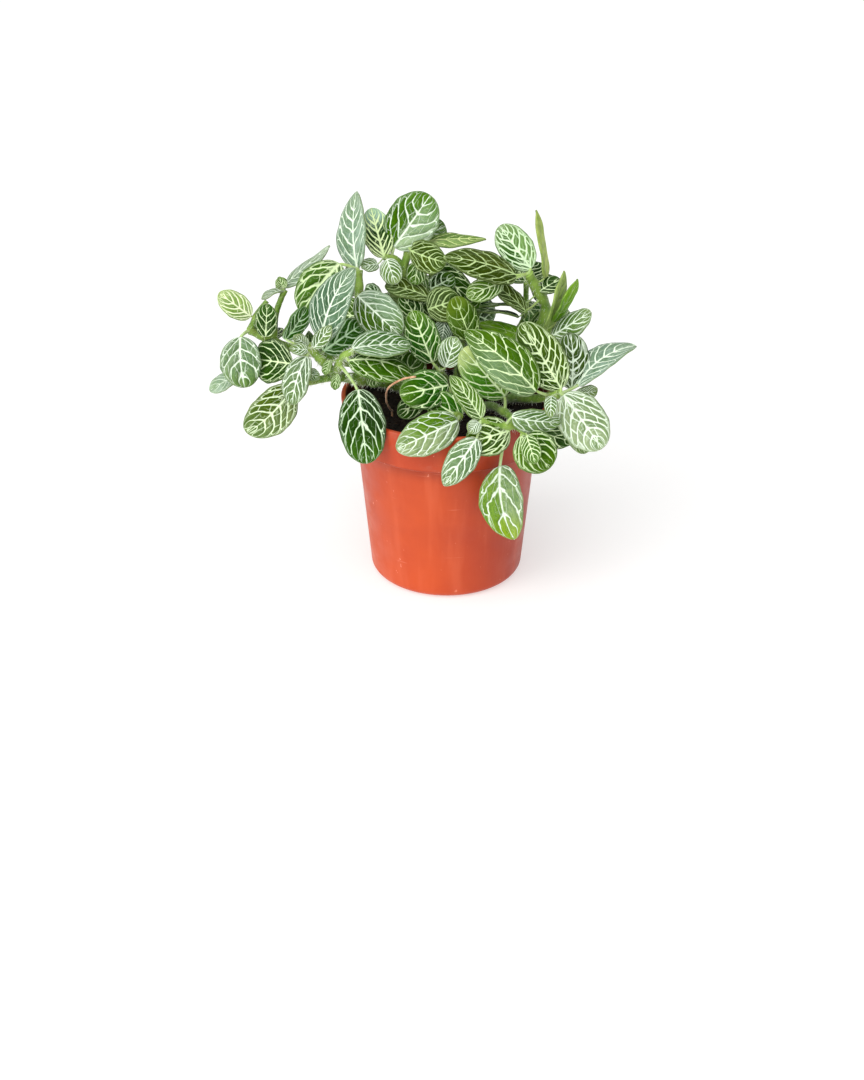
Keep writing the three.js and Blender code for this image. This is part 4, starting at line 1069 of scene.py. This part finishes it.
def soil_bed(radius, material):
    """A square grid rounded into a disc, raised into clods and given its depth."""
    bpy.ops.object.select_all(action="DESELECT")
    bpy.ops.mesh.primitive_grid_add(x_subdivisions=110, y_subdivisions=110, size=2)
    piece = bpy.context.object
    for vertex in piece.data.vertices:
        u, v = vertex.co.x, vertex.co.y
        x, y = u * math.sqrt(1 - v * v / 2) * radius, v * math.sqrt(1 - u * u / 2) * radius
        vertex.co = Vector((x, y, SOIL_TOP + soil_height(x, y))) * MM
    depth = piece.modifiers.new("depth", "SOLIDIFY")
    depth.thickness = SOIL_THICKNESS * MM
    depth.offset = -1
    bpy.ops.object.modifier_apply(modifier=depth.name)
    bpy.ops.object.shade_smooth()
    settle(piece, "soil_bed", material)


def crumbs(radius, material):
    """Loose crumbs over the soil, many copies of one small lump."""
    bpy.ops.object.select_all(action="DESELECT")
    bpy.ops.mesh.primitive_ico_sphere_add(subdivisions=1, radius=1)
    lump = bpy.context.object
    shape = [vertex.co.copy() for vertex in lump.data.vertices]
    facets = [tuple(face.vertices) for face in lump.data.polygons]
    bpy.data.objects.remove(lump)
    draw = random.Random("crumbs")
    corners, faces = [], []
    for _ in range(CRUMBS):
        reach, turn = radius * math.sqrt(draw.random()) * 0.98, draw.uniform(0, 2 * math.pi)
        x, y = reach * math.cos(turn), reach * math.sin(turn)
        size = draw.uniform(*CRUMB_SIZES) * (LARGE_CRUMB if draw.random() < LARGE_SHARE else 1)
        spin = Quaternion(Vector([draw.uniform(-1, 1) for _ in range(3)]).normalized(), draw.uniform(0, 3))
        stretch = Vector((draw.uniform(0.6, 1.5), draw.uniform(0.6, 1.2), draw.uniform(0.5, 1)))
        centre = Vector((x, y, SOIL_TOP + soil_height(x, y) + 0.2 * size))
        first = len(corners)
        for corner in shape:
            rough = corner * size * draw.uniform(0.8, 1.2)
            corners.append((spin @ Vector([a * b for a, b in zip(rough, stretch)]) + centre) * MM)
        faces += [tuple(first + index for index in facet) for facet in facets]
    piece = add_mesh("soil_crumbs", corners, faces)
    settle(piece, "soil_crumbs", material)


def aerial_root(material):
    """The thin root that hangs from the left stem and bends down into the soil."""
    x, y = AERIAL_ROOT["foot"]
    points = [Vector((x, y, SOIL_TOP + ROOT_RISE))] + [sight(point) for point in AERIAL_ROOT["points"]]
    spots = [Vector((x, y, SOIL_TOP))] + curve_path(points, 60)
    radii = [AERIAL_ROOT["radius"] * (0.72 + 0.1 * math.sin(step * 0.9)) for step in range(len(spots))]
    piece = cane("aerial_root_skin", spots, radii, 10)
    bpy.ops.object.shade_smooth()
    settle(piece, "aerial_root_skin", material)
    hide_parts("aerial_root")


# ---------------------------------------------------------------- studio
LENS, SENSOR = 58.83, 36


def studio():
    """Pale floor, even light, two lamps from the front left, and the camera at the eye."""
    bpy.ops.object.select_all(action="DESELECT")
    bpy.ops.mesh.primitive_plane_add(size=12, location=(0, 0, -0.0002))
    floor = bpy.context.object
    floor.name = "floor"
    floor.data.materials.append(floor_material())

    world = bpy.data.worlds.new("studio")
    bpy.context.scene.world = world
    world.use_nodes = True
    backdrop = world.node_tree.nodes["Background"]
    backdrop.inputs["Color"].default_value = (1, 1, 1, 1)
    backdrop.inputs["Strength"].default_value = 0.45

    def lamp(name, place, size, power, tint):
        data = bpy.data.lights.new(name, "AREA")
        data.size = size
        data.energy = power
        data.color = tint
        light = add_object(name, data)
        light.location = place
        light.rotation_euler = (Vector((0, 0, 0.06)) - Vector(place)).to_track_quat("-Z", "Y").to_euler()

    lamp("key", (-0.85, -0.6, 0.6), 0.7, 5.6, (1, 0.985, 0.96))
    lamp("front", (-0.1, -1.0, 0.55), 0.9, 4.0, (1, 0.99, 0.97))
    data = bpy.data.lights.new("sky", "SUN")
    data.energy = 1.3
    data.angle = math.radians(60)
    add_object("sky", data).rotation_euler = (math.radians(18), math.radians(-12), 0)

    data = bpy.data.cameras.new("camera")
    data.lens = LENS
    data.sensor_width = SENSOR
    data.clip_start = 0.01
    camera = add_object("camera", data)
    camera.location = EYE * MM
    camera.rotation_euler = (math.pi / 2 - SIGHT_TILT, 0, 0)
    bpy.context.scene.camera = camera
    bpy.context.scene.view_settings.view_transform = "Standard"


# ---------------------------------------------------------------- the whole plant
finishes = {"leaf": leaf_material(), "stem": stem_material(), "hair": hair_material()}
earth = soil_material()
pot_shell(pot_material())
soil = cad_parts["soil"]
soil.data.materials.clear()
soil.data.materials.append(earth)
soil_radius = COLLAR_LOW_RADIUS - WALL - LIP - SOIL_ROOM
soil_bed(soil_radius, earth)
crumbs(soil_radius, earth)
aerial_root(root_material())
for title, plan in STEMS.items():
    stem(title, plan, finishes)
studio()
